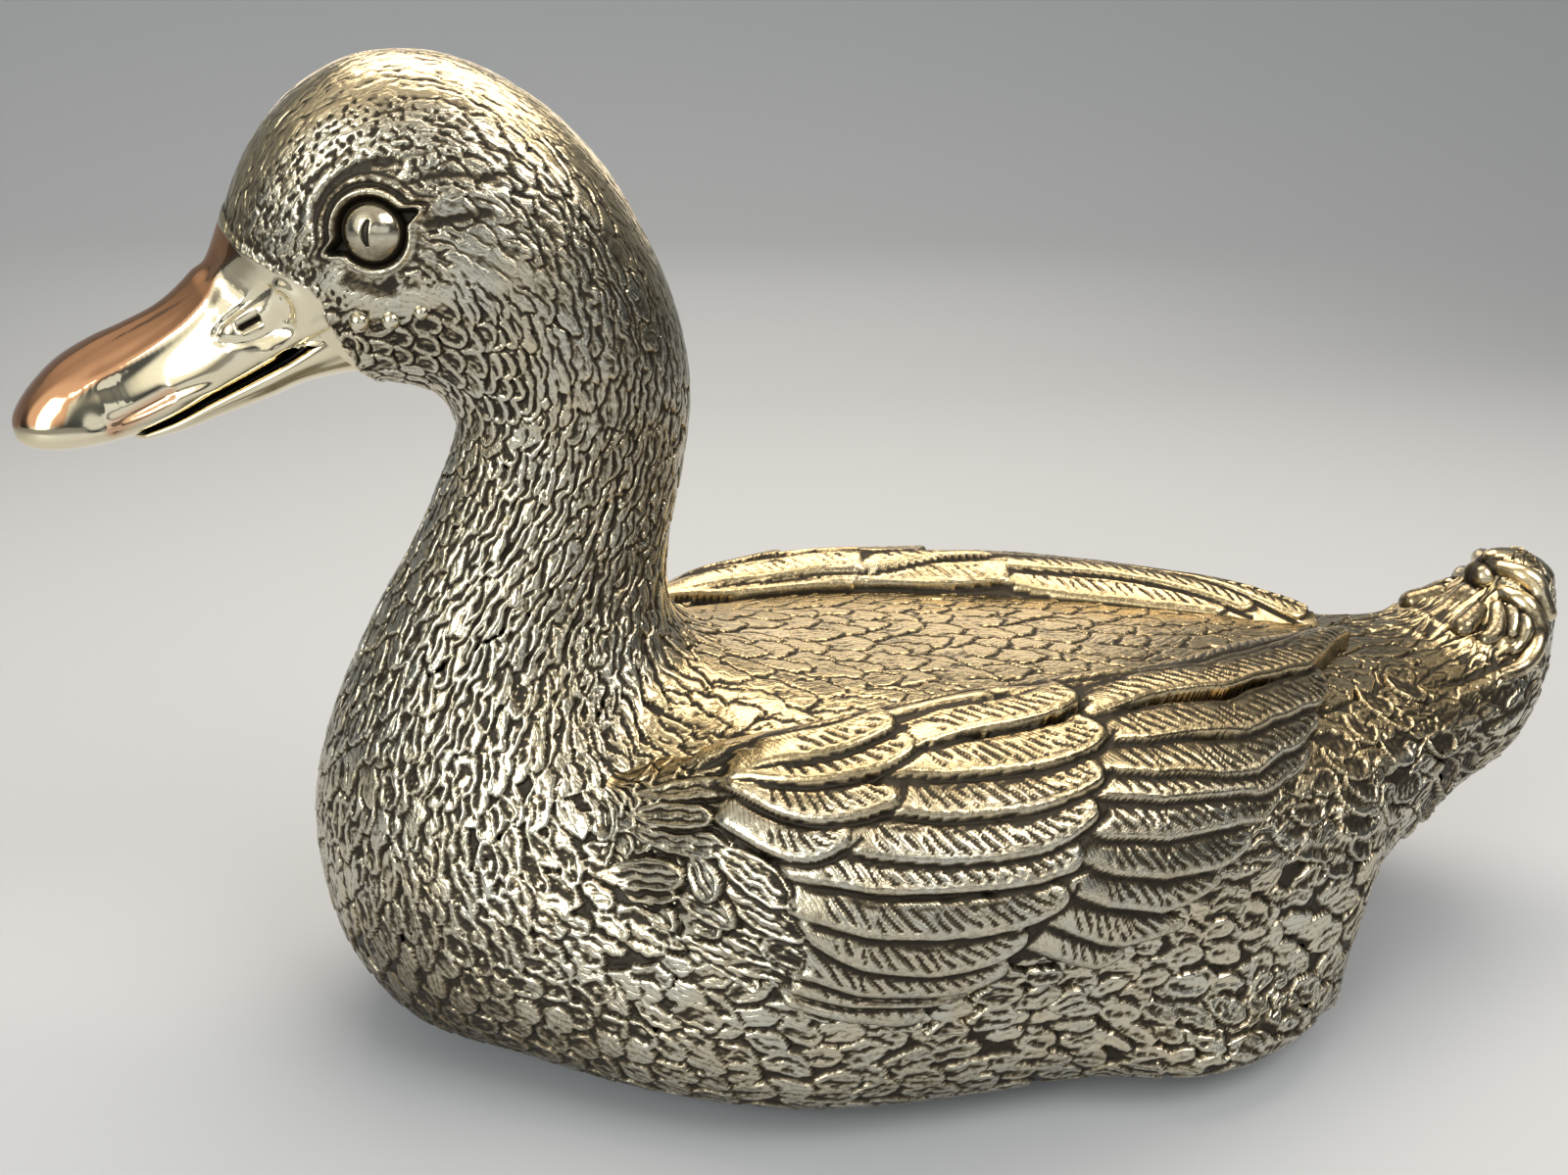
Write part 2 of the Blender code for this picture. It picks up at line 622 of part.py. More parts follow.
def mandible_ribs():
    """The lower bill hangs a gap below the upper bill's mouth line."""
    low, high = MANDIBLE_BASE_RANGE
    upper = bill_ribs()
    ribs = [(face_plane(low, GAP), face_plane(high, GAP), MANDIBLE_WIDTHS[0],
             *MANDIBLE_FORM)]
    for k in range(1, len(MANDIBLE_DEPTHS)):
        x, z = upper[k][0]
        before, after = upper[k - 1][0], upper[k + 1][0]
        along = Vector((after[0] - before[0], 0, after[1] - before[1])).normalized()
        down = Vector((along.z, 0, -along.x))
        if down.z > 0:
            down = -down
        top = Vector((x, 0, z)) + down * MOUTH_GAP
        bottom = top + down * MANDIBLE_DEPTHS[k]
        ribs.append(((bottom.x, bottom.z), (top.x, top.z), MANDIBLE_WIDTHS[k],
                     *MANDIBLE_FORM))
    return tuple(ribs)


def add_bill(material, inner_material, parts):
    """Upper and lower bill, and the plug inside the face that both are fixed to."""
    upper = bill_ribs()
    rings = [ring(upper, t, count=10) for t in stations(0, len(upper) - 1, BILL_STEP)]
    add_object("upper_bill", *loft(rings), material, parts)
    lower = mandible_ribs()
    rings = [ring(lower, t, count=8) for t in stations(0, len(lower) - 1, BILL_STEP)]
    add_object("lower_bill", *loft(rings), material, parts)
    rings = [ring(BIRD_RIBS, t, WALL + GAP)
             for t in stations(FACE_END - PLUG_RIBS, FACE_END, BILL_STEP)]
    add_object("bill_plug", *loft(rings), inner_material, parts)


def oval_prism(name, length, width, low, high, material, group, segments=48):
    """An oval plate about the casting opening's centre."""
    shape = bmesh.new()
    bmesh.ops.create_cone(shape, cap_ends=True, segments=segments, radius1=1, radius2=1,
                          depth=high - low)
    bmesh.ops.scale(shape, vec=(length / 2, width / 2, 1), verts=shape.verts[:])
    bmesh.ops.translate(shape, vec=(OPENING_X, 0, (low + high) / 2), verts=shape.verts[:])
    mesh = bpy.data.meshes.new(name)
    shape.to_mesh(mesh)
    shape.free()
    if material is not None:
        mesh.materials.append(material)
    item = bpy.data.objects.new(name, mesh)
    group.objects.link(item)
    return item


def screw_profile(clear):
    """Countersunk screw, head down; clear widens it for its hole."""
    shank = SCREW_SHANK + clear
    head = SCREW_HEAD + clear
    top = SCREW_LENGTH + clear
    return [(0.0, top), (shank, top), (shank, SCREW_HEAD_DEPTH + clear / 2),
            (head, 0.0 - clear / 2), (0.0, 0.0 - clear / 2)]


def add_base(body, steel, brass, felt, lead, parts, cutters):
    """The base plate and the ballast core over it, held by screws, and the felt."""
    opening = oval_prism("base_opening", OPENING_LENGTH, OPENING_WIDTH, -CUTTER_REACH,
                         FLOOR + WALL + CUTTER_REACH, None, cutters)
    cut(body, hide_cutter(opening))
    plate = oval_prism("base_plate", OPENING_LENGTH - 2 * GAP, OPENING_WIDTH - 2 * GAP,
                       FLOOR, FLOOR + WALL, brass, parts)
    core_low = FLOOR + WALL + GAP
    core = oval_prism("ballast_core", OPENING_LENGTH + 2 * CORE_LAP,
                      OPENING_WIDTH + 2 * CORE_LAP, core_low, core_low + CORE_HEIGHT,
                      lead, parts)
    bevel = core.modifiers.new("edge", "BEVEL")
    bevel.width = CORE_EDGE
    bevel.segments = 2
    bevel.limit_method = "ANGLE"
    corners = [(i, j) for i in (-1, 1) for j in (-1, 1)]
    for number, (i, j) in enumerate(corners, 1):
        place = (OPENING_X + i * SCREW_SPACING_X / 2, j * SCREW_SPACING_Y / 2, FLOOR)
        screw = turned(f"base_screw_{number}", screw_profile(0.0), 16, steel, parts)
        screw.location = place
        hole = turned(f"screw_hole_{number}", screw_profile(GAP), 16, None, cutters)
        hole.location = place
        hide_cutter(hole)
        cut(plate, hole)
        cut(core, hole)
    oval_prism("felt_pad", OPENING_LENGTH + 2 * FELT_MARGIN, OPENING_WIDTH + 2 * FELT_MARGIN,
               0, FELT_THICKNESS, felt, parts)


def add_tail_curl(material, parts, cutters):
    """Three lobes folded over the tail's tip, cut to sit on the tail."""
    lobes_made = []
    for number, side in enumerate((-1, 0, 1)):
        rib = CURL_SIDE_RIB if side else CURL_RIB
        seat, outward = skin_frame(rib, 0.999, 1)
        shape = bmesh.new()
        bmesh.ops.create_uvsphere(shape, u_segments=16, v_segments=10, radius=CURL_RADIUS)
        bmesh.ops.scale(shape, vec=CURL_STRETCH, verts=shape.verts[:])
        bmesh.ops.rotate(shape, matrix=Matrix.Rotation(math.radians(CURL_TILT), 3, "Y"),
                         verts=shape.verts[:])
        place = seat + outward * (CURL_RADIUS * CURL_RISE) + Vector((0, side * CURL_SPREAD, 0))
        bmesh.ops.translate(shape, vec=place, verts=shape.verts[:])
        mesh = bpy.data.meshes.new(f"curl_lobe_{number}")
        shape.to_mesh(mesh)
        shape.free()
        mesh.shade_smooth()
        item = bpy.data.objects.new(f"curl_lobe_{number}", mesh)
        lobes_made.append(item)
    curl = lobes_made[1]
    curl.name = "tail_curl"
    curl.data.materials.append(material)
    parts.objects.link(curl)
    for item in (lobes_made[0], lobes_made[2]):
        cutters.objects.link(item)
        hide_cutter(item)
        modifier = cut(curl, item, "join")
        modifier.operation = "UNION"
    cut(curl, solid_form("curl_seat", 0, TAIL_SEAM, TAIL_STEP, cutters))


def build():
    remove_scene_objects()
    parts = make_collection("silver_duck")
    cutters = make_collection("cutters")
    silver = metal("oxidised_silver", (0.56, 0.53, 0.45), 0.30)
    polished = metal("polished_silver", (0.83, 0.78, 0.68), 0.07)
    brass = metal("brass_plate", (0.72, 0.55, 0.27), 0.35)
    steel = metal("screw_steel", (0.55, 0.56, 0.57), 0.35)
    lead = metal("cast_ballast", (0.18, 0.18, 0.19), 0.60)
    felt = metal("black_felt", (0.03, 0.03, 0.035), 0.95, 0.0)

    body = shell("body_shell", TAIL_SEAM, NECK_SEAM, BODY_STEP, silver, parts)
    shell("neck_shell", NECK_SEAM, HEAD_SEAM, NECK_STEP, silver, parts)
    head = shell("head_shell", HEAD_SEAM, FACE_END, HEAD_STEP, silver, parts)
    tail_shell(silver, parts)
    joint_sleeve("tail_joint_sleeve", TAIL_SEAM, TAIL_STEP, BODY_STEP, brass, parts)
    joint_sleeve("neck_joint_sleeve", NECK_SEAM, BODY_STEP, NECK_STEP, brass, parts)
    joint_sleeve("head_joint_sleeve", HEAD_SEAM, NECK_STEP, HEAD_STEP, brass, parts)
    seat_form = solid_form("wing_seat", TAIL_SEAM, NECK_SEAM, BODY_STEP, cutters)
    for label, side in (("left", -1), ("right", 1)):
        add_wing(label, side, body, seat_form, silver, steel, parts, cutters)
        add_eye(label, side, head, polished, parts, cutters)
    add_bill(polished, brass, parts)
    add_tail_curl(silver, parts, cutters)
    add_base(body, steel, brass, felt, lead, parts, cutters)


build()
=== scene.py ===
# A silver duck, cast in sections: feathers stand in relief, their tops polished bright
# and the hollows between them left dark.
import math

import bpy
import numpy as np
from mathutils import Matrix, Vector


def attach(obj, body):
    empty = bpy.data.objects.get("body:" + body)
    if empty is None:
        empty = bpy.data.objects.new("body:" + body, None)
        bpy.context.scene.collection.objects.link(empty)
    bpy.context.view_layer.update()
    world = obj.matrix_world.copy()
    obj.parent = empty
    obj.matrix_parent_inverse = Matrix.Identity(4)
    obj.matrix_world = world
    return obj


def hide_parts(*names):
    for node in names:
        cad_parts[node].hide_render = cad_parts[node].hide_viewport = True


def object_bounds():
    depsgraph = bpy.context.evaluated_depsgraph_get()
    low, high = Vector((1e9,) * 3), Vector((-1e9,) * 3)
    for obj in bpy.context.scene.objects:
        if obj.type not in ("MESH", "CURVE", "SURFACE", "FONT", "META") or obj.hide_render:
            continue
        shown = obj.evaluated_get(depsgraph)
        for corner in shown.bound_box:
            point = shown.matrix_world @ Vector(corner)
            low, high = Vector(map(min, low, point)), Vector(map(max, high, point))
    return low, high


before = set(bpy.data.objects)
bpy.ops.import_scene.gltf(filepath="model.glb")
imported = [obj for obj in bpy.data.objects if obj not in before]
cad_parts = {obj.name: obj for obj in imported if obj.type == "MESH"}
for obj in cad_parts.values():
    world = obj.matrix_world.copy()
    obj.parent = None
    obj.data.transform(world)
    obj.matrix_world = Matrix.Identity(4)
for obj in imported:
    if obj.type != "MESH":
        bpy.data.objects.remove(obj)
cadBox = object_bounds()
print("frame loaded:", len(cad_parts), "nodes")

# all shaping below is in millimetres, turned to metres where a mesh is made
mm = 0.001
boxMargin = 0.02           # what the pieces leave free inside the frame's box
frameBox = np.array([cadBox[0], cadBox[1]]) / mm + ((boxMargin,) * 3, (-boxMargin,) * 3)
fullTurn = 6.283           # radians
farSide = (1, -1, 1)       # takes a place to the other side
# the photograph's pixels to the millimetre at these parts of the bird
pixelsPerMm = {"head": 5.9, "thigh": 4.7, "tail": 4.4}
# where random draws and noises start
seeds = {
    "drift": (201, 202), "grain": 203, "feathers": 3, "wingFeathers": 17, "swell": 5, "rough": 6,
    "faceEdge": 77, "eyeFolds": 64, "facePits": 31, "clouds": 88, "wingSwell": 23, "tuftStain": 91,
    "primaries": 1, "coverts": 2, "shortCoverts": 3, "innerPrimaries": 4, "innerCoverts": 5,
    "innerShorts": 6, "tuftRipple": 4.0, "beads": 7,
}

view = {
    "place": (-72.6, -266.2, 174.9),
    "turn": 11.0,            # degrees from looking along +Y towards +X
    "tilt": 18.0,            # degrees down
    "fieldOfView": 60.0,
    "photo": (1600, 1199),
}

# Sections of the bird from tail tip to face: bottom or front point (x, z), back point
# (x, z), half width, where it is widest, and squareness below and above that
birdRibs = [
    ((159.3, 81.5), (154.8, 86.0), 4.0, 0.50, 2.0, 2.0),
    ((162.8, 75.5), (148.8, 84.5), 9.0, 0.50, 2.0, 2.0),
    ((161.8, 66.0), (143.3, 78.0), 13.5, 0.50, 2.0, 2.0),
    ((157.8, 52.0), (136.8, 73.5), 19.0, 0.50, 2.0, 2.0),
    ((147.3, 39.0), (129.8, 70.0), 25.0, 0.50, 2.0, 2.0),
    ((129.8, 31.0), (121.3, 68.5), 31.0, 0.52, 2.0, 2.1),
    ((112.8, 24.0), (111.8, 68.5), 38.0, 0.52, 2.1, 2.2),
    ((95.8, 15.0), (99.8, 69.5), 46.0, 0.50, 2.3, 2.3),
    ((84.8, 3.0), (85.8, 71.0), 55.0, 0.44, 2.9, 2.4),
    ((63.8, 1.4), (65.8, 72.0), 62.0, 0.41, 4.0, 2.6),
    ((39.8, 1.4), (43.8, 73.0), 67.0, 0.41, 5.0, 2.8),
    ((15.8, 1.4), (21.8, 74.0), 70.0, 0.41, 5.5, 2.9),
    ((-8.2, 1.4), (-0.2, 75.0), 71.0, 0.41, 5.5, 2.9),
    ((-33.2, 1.4), (-18.2, 76.0), 69.0, 0.41, 5.2, 2.6),
    ((-58.2, 1.4), (-32.2, 78.0), 61.5, 0.41, 4.2, 2.3),
    ((-82.2, 1.8), (-40.2, 81.0), 51.5, 0.41, 3.0, 2.1),
    ((-102.7, 4.8), (-44.2, 86.0), 44.5, 0.42, 2.4, 2.0),
    ((-114.7, 17.0), (-45.2, 92.0), 38.5, 0.42, 2.1, 2.0),
    ((-119.2, 34.0), (-44.7, 98.0), 33.0, 0.43, 2.0, 2.0),
    ((-118.7, 51.0), (-43.7, 104.0), 28.0, 0.44, 2.0, 2.0),
    ((-113.2, 69.0), (-42.2, 110.0), 24.0, 0.46, 2.0, 2.0),
    ((-104.2, 87.0), (-40.7, 117.0), 21.0, 0.48, 2.0, 2.0),
    ((-95.2, 102.0), (-39.7, 125.0), 19.5, 0.50, 2.0, 2.0),
    ((-89.2, 114.5), (-39.7, 134.0), 19.5, 0.50, 2.0, 2.0),
    ((-86.0, 122.5), (-41.7, 145.0), 20.5, 0.50, 2.0, 2.0),
    ((-86.4, 126.5), (-46.7, 158.0), 21.5, 0.50, 2.0, 2.0),
    ((-87.7, 129.0), (-55.2, 172.5), 22.2, 0.50, 2.0, 2.0),
    ((-89.2, 130.3), (-67.2, 184.0), 22.4, 0.50, 2.0, 2.05),
    ((-90.9, 131.1), (-82.2, 191.0), 22.0, 0.49, 2.0, 2.1),
    ((-92.7, 131.6), (-97.2, 191.0), 21.0, 0.48, 2.0, 2.1),
    ((-94.7, 132.0), (-109.7, 184.5), 19.0, 0.47, 2.0, 2.1),
    ((-96.7, 132.3), (-118.7, 174.0), 16.0, 0.46, 2.0, 2.05),
    ((-98.7, 132.5), (-124.2, 162.5), 12.5, 0.45, 2.0, 2.0),
]
# the bill's sections after the face: mouth point, ridge point, and the rest as above
billRibs = [
    ((-107.0, 142.9), (-124.1, 161.9), 12.1, 0.30, 3.0, 1.75),
    ((-112.7, 138.5), (-127.2, 157.0), 11.6, 0.26, 3.0, 1.75),
    ((-119.2, 135.0), (-131.7, 152.0), 11.1, 0.24, 3.0, 1.75),
    ((-126.7, 131.3), (-136.7, 148.0), 10.8, 0.22, 3.0, 1.8),
    ((-134.2, 127.5), (-142.7, 145.0), 11.0, 0.22, 3.0, 1.9),
    ((-142.2, 124.6), (-148.7, 142.4), 11.8, 0.22, 2.8, 2.0),
    ((-149.2, 123.0), (-154.2, 139.2), 12.7, 0.24, 2.6, 2.1),
    ((-155.7, 122.6), (-158.7, 135.0), 12.0, 0.28, 2.4, 2.2),
    ((-160.0, 123.5), (-161.7, 131.0), 8.8, 0.35, 2.2, 2.2),
    ((-162.2, 125.6), (-162.8, 128.4), 3.2, 0.45, 2.0, 2.0),
]
# thigh and heel lobes: centre (x, z), reach (x, z), push outwards
lobes = [((59.8, 7.0), (27.0, 12.0), 10.5), ((84.8, 4.0), (6.0, 8.0), 6.0)]
# wing: rib, shares round the section of its outer edge, crest and inner foot, height
wingStations = [
    (6.50, 0.886, 0.935, 0.982, 0.30),
    (6.90, 0.856, 0.910, 0.975, 0.44),
    (7.40, 0.818, 0.882, 0.962, 0.58),
    (8.00, 0.768, 0.862, 0.943, 0.72),
    (8.50, 0.722, 0.852, 0.924, 0.82),
    (9.00, 0.662, 0.838, 0.902, 0.90),
    (9.40, 0.596, 0.822, 0.882, 0.94),
    (9.80, 0.556, 0.806, 0.862, 0.98),
    (10.40, 0.508, 0.788, 0.838, 1.00),
    (10.90, 0.489, 0.778, 0.822, 1.00),
    (11.50, 0.481, 0.769, 0.808, 1.00),
    (12.20, 0.480, 0.757, 0.795, 1.00),
    (12.80, 0.489, 0.746, 0.786, 1.00),
    (13.50, 0.517, 0.733, 0.774, 0.97),
    (14.20, 0.545, 0.722, 0.763, 0.88),
    (15.00, 0.572, 0.699, 0.746, 0.65),
    (15.50, 0.594, 0.684, 0.730, 0.45),
    (16.00, 0.632, 0.664, 0.694, 0.28),
]


def toLinear(code):
    # an sRGB hex code as linear red, green, blue and alpha
    value = [int(code[k:k + 2], 16) / 255 for k in (1, 3, 5)]
    linear = [v / 12.92 if v <= 0.04045 else ((v + 0.055) / 1.055) ** 2.4 for v in value]
    return (*linear, 1.0)


def smooth(x):
    # eases from 0 to 1
    x = np.clip(x, 0.0, 1.0)
    return x * x * (3 - 2 * x)


def mix(a, b, k):
    return a + (b - a) * k


def unit(v):
    return v / np.maximum(np.linalg.norm(v, axis=-1, keepdims=True), 1e-9)


def splineAt(table, t):
    # the table's rows as a smooth line, at t rows from its start
    last = len(table) - 1
    t = min(max(t, 0.0), last)
    i = min(int(t), last - 1)
    u = t - i
    a, b, c, d = (table[min(max(k, 0), last)] for k in (i - 1, i, i + 1, i + 2))
    return 0.5 * (2 * b + (c - a) * u + (2 * a - 5 * b + 4 * c - d) * u ** 2
                  + (3 * b - 3 * c + d - a) * u ** 3)


def asTable(ribs):
    return np.array([(*front, *back, *rest) for front, back, *rest in ribs], float)


birdTable = asTable(birdRibs)
billTable = asTable(billRibs)
wingTable = np.array(wingStations)
lastRib = len(birdRibs) - 1.0
turnSamples = np.linspace(0, math.pi, 361)
lobeWidth = 45.0           # mm from the middle at which the lobes have their full push


def sectionAt(table, t, shares, withLobes=True):
    # the +Y half of a section at shares of its length, from its front to its back
    fx, fz, bx, bz, width, widest, low, high = splineAt(table, t)
    cosine = np.cos(turnSamples)
    power = 2 / np.where(cosine > 0, low, high)
    reach = np.abs(cosine) ** power
    along = np.where(cosine > 0, widest * (1 - reach), widest + (1 - widest) * reach)
    y = width * np.abs(np.sin(turnSamples)) ** power
    x = fx + (bx - fx) * along
    z = fz + (bz - fz) * along
    if withLobes:
        side = np.clip(y / lobeWidth, 0, 1) ** 2
        for (cx, cz), (rx, rz), height in lobes:
            lobe = np.exp(-np.abs((x - cx) / rx) ** 3 - np.abs((z - cz) / rz) ** 2.2)
            y = y + height * lobe * side
    points = np.stack([x, y, z], axis=1)
    length = runOf(points)
    length /= length[-1]
    return np.stack([np.interp(shares, length, points[:, k]) for k in range(3)], axis=1)


def runOf(points):
    # distance along a line of points
    return np.concatenate([[0], np.cumsum(np.linalg.norm(np.diff(points, axis=0), axis=1))])


def ringOf(half):
    # a whole section from its +Y half
    return np.concatenate([half, half[-2:0:-1] * farSide])


def fieldNoise(points, size, seed, octaves=3, waves=5):
    # smooth uneven field over the surface, about -1 to 1
    dice = np.random.default_rng(seed)
    total = np.zeros(points.shape[:2])
    for octave in range(octaves):
        for _ in range(waves):
            way = unit(dice.normal(size=3)) * fullTurn / (size / 1.9 ** octave) * dice.uniform(0.7, 1.3)
            total += np.sin(points @ way + dice.uniform(0, fullTurn)) / 1.6 ** octave
    return total / waves ** 0.5 / 2.24


# A skin is a grid of points: rows run along the bird, columns round it. It carries each
# point's place p, outward way n and relief h in mm, and how stained and polished it is.
skinNoise = {"drift": 4.6, "grain": 1.9}      # mm


def makeSkin(points, wrap, flip=1.0, flow=None):
    along = np.gradient(points, axis=0)
    if wrap:
        around = (np.roll(points, -1, 1) - np.roll(points, 1, 1)) / 2
    else:
        around = np.gradient(points, axis=1)
    normal = unit(np.cross(along, around)) * flip
    shape = points.shape[:2]
    flow = unit(along if flow is None else flow)
    return {"p": points, "n": normal, "along": flow, "wrap": wrap,
            "rowStep": np.abs(np.einsum("ijk,ijk->ij", along, flow)),
            "colStep": np.linalg.norm(around, axis=2),
            "h": np.zeros(shape), "cover": np.zeros(shape), "polish": np.zeros(shape),
            "stain": np.zeros(shape), "barb": np.zeros(shape), "taken": np.zeros(shape, bool),
            "driftA": fieldNoise(points, skinNoise["drift"], seeds["drift"][0], 2),
            "driftB": fieldNoise(points, skinNoise["drift"], seeds["drift"][1], 2),
            "grain": fieldNoise(points, skinNoise["grain"], seeds["grain"], 2)}


# the skin's pieces: name, frame node, ribs from and to, rows, and number of pieces
birdParts = [
    ("tailSkin", "tail_shell", 0, 6, 140, 1),
    ("bodySkin", "body_shell", 6, 17, 500, 4),
    ("neckSkin", "neck_shell", 17, 23, 230, 2),
    ("headSkin", "head_shell", 23, 32, 290, 2),
]
birdColumns = 300      # in half a section


def shareDensity(t, s):
    # fewer columns under the belly and under the wings, where nothing shows
    edge, foot = (np.interp(t, wingTable[:, 0], wingTable[:, k]) for k in (1, 3))
    low = smooth((0.16 - s) / 0.05) * smooth((t - 5.5) / 1.5) * smooth((18.0 - t) / 2.0)
    hidden = smooth((t - 7.6) / 1.4) * smooth((15.4 - t) / 1.4)
    hidden = hidden * smooth((s - edge - 0.03) / 0.04) * smooth((foot - 0.02 - s) / 0.04)
    return 1 - 0.6 * low - 0.68 * hidden


def birdSkin():
    # closed rings from tail tip to face
    ribs = [np.linspace(*part[2:5], endpoint=False) for part in birdParts]
    ribs = np.concatenate(ribs + [[lastRib]])
    edges = np.linspace(0, 1, 400)
    spread = np.linspace(0, 1, birdColumns + 1)
    rings, flows, shareRows = [], [], []
    for t in ribs:
        weight = shareDensity(t, edges)
        run = np.concatenate([[0], np.cumsum((weight[1:] + weight[:-1]) / 2)])
        shares = np.interp(spread, run / run[-1], edges)
        half = sectionAt(birdTable, t, shares)
        behind = sectionAt(birdTable, max(t - 0.03, 0.0), shares)
        ahead = sectionAt(birdTable, min(t + 0.03, lastRib), shares)
        half[0, 1] = half[-1, 1] = 0
        rings.append(ringOf(half))
        flows.append(ringOf(ahead - behind))
        shareRows.append(np.concatenate([shares, shares[-2:0:-1]]))
    skin = makeSkin(np.array(rings), True, 1.0, np.array(flows))
    skin["t"] = ribs
    skin["s"] = np.array(shareRows)
    return skin


def windowOf(skin, i, j, reach):
    # the part of the grid that lies within reach of one of its points, in mm
    leastStep, mostCells = 0.04, 120
    rows, cols = skin["p"].shape[:2]
    step = skin["colStep"][i, j]
    dj = int(min(reach / max(step, leastStep), mostCells)) + 1
    if skin["wrap"]:
        near = skin["rowStep"][i, [(j - dj // 2) % cols, j, (j + dj // 2) % cols]].min()
        columns = np.arange(j - min(dj, cols // 2 - 1), j + min(dj, cols // 2 - 1) + 1) % cols
    else:
        near = skin["rowStep"][i, [max(j - dj // 2, 0), j, min(j + dj // 2, cols - 1)]].min()
        columns = np.arange(max(j - dj, 0), min(j + dj + 1, cols))
    di = int(min(reach / max(near, leastStep), mostCells)) + 1
    return np.ix_(np.arange(max(i - di, 0), min(i + di + 1, rows)), columns)


barbStart = 9.0       # mm added to a barb's place, so that only plain metal reads as 0


def pressFeather(skin, i, j, angle, form, wobble=0.0):
    # one short feather with a flat worn top: a groove is cut round it, and it lies over
    # what was pressed before
    length, width = form["length"], form["width"]
    ix = windowOf(skin, i, j, 0.62 * max(length, width) + 1.3)
    normal = skin["n"][i, j]
    back = -skin["along"][i, j]
    back = unit(back - normal * (back @ normal))
    across = np.cross(normal, back)
    heading = back * math.cos(angle) + across * math.sin(angle)
    sideways = np.cross(normal, heading)
    rel = skin["p"][ix] - skin["p"][i, j]
    x = rel @ heading + form["meander"] * skin["driftA"][ix]
    y = rel @ sideways + form["meander"] * skin["driftB"][ix]
    u = x / length + 0.5
    y = y + wobble * width * np.sin(u * 4.2 + wobble * 40)
    v = 2 * np.abs(y) / width
    tip = np.clip((u - 0.42) / 0.58, 0, None)
    shingle = np.where(u > 0.42, np.clip(1 - tip ** form["round"], 0, 1) ** 0.62,
                       1 - 0.45 * np.clip((0.42 - u) / 0.42, 0, 1) ** 2)
    ahead = np.clip((u - 0.58) / 0.42, 0, 1)
    behind = np.clip((0.58 - u) / 0.58, 0, 1)
    leaf = np.where(u > 0.58, (1 - ahead ** form["round"]) ** 0.6, (1 - behind ** 2) ** 0.8)
    outline = mix(shingle, leaf, form["leaf"])
    edge = np.minimum((outline - v) * width / 2, (1 - u) * length)
    edge = np.where(u < 0.5, mix(edge, np.minimum(edge, u * length), form["leaf"]), edge)
    weight = smooth(edge / 0.36 + 0.4) * mix(smooth(u / 0.3), 1.0, form["leaf"])
    inner = smooth((edge - 0.40) / 1.1) * smooth((u - 0.06) / 0.2)
    grain = skin["grain"][ix]
    value = form["rise"] * (0.15 + 0.85 * np.clip(u, 0, 1) ** 1.2)
    value = value - form["crown"] * np.clip(v, 0, 1) ** 3
    value = value + form["rim"] * np.exp(-((edge - 0.65) / 0.50) ** 2) * smooth((u - 0.1) / 0.3)
    value = value - form["dish"] * inner * (0.85 + 0.35 * grain)
    value = value + form["dot"] * np.exp(-(((x - 0.10 * length) / 0.8) ** 2 + (y / 0.55) ** 2) ** 1.5)
    waver = 0.8 * np.sin(x * 1.3 + wobble * 50)
    strokes = np.cos(fullTurn * (y / form["pitch"] + wobble * 31) + waver)
    strokes = smooth(strokes * 1.5 + 0.6 * grain - 0.45)
    value = value - form["streak"] * strokes * inner
    height = skin["h"][ix]
    height = height * (1 - weight) + value * weight
    groove = np.exp(-((edge + 0.34) / form["cut"]) ** 2) * smooth((u - 0.22) / 0.3) * (u < 1.3)
    skin["h"][ix] = height - form["groove"] * groove
    own = form["shade"] * inner * (0.20 + 0.80 * strokes)
    own = own + form["deep"] * inner * (0.8 + 0.3 * grain)
    skin["stain"][ix] = skin["stain"][ix] * (1 - weight) + own * weight
    barb = (y + barbStart + wobble * 31) * form["barbs"]
    skin["barb"][ix] = np.where(weight > 0.5, barb, skin["barb"][ix])
    skin["cover"][ix] = np.maximum(skin["cover"][ix], weight)


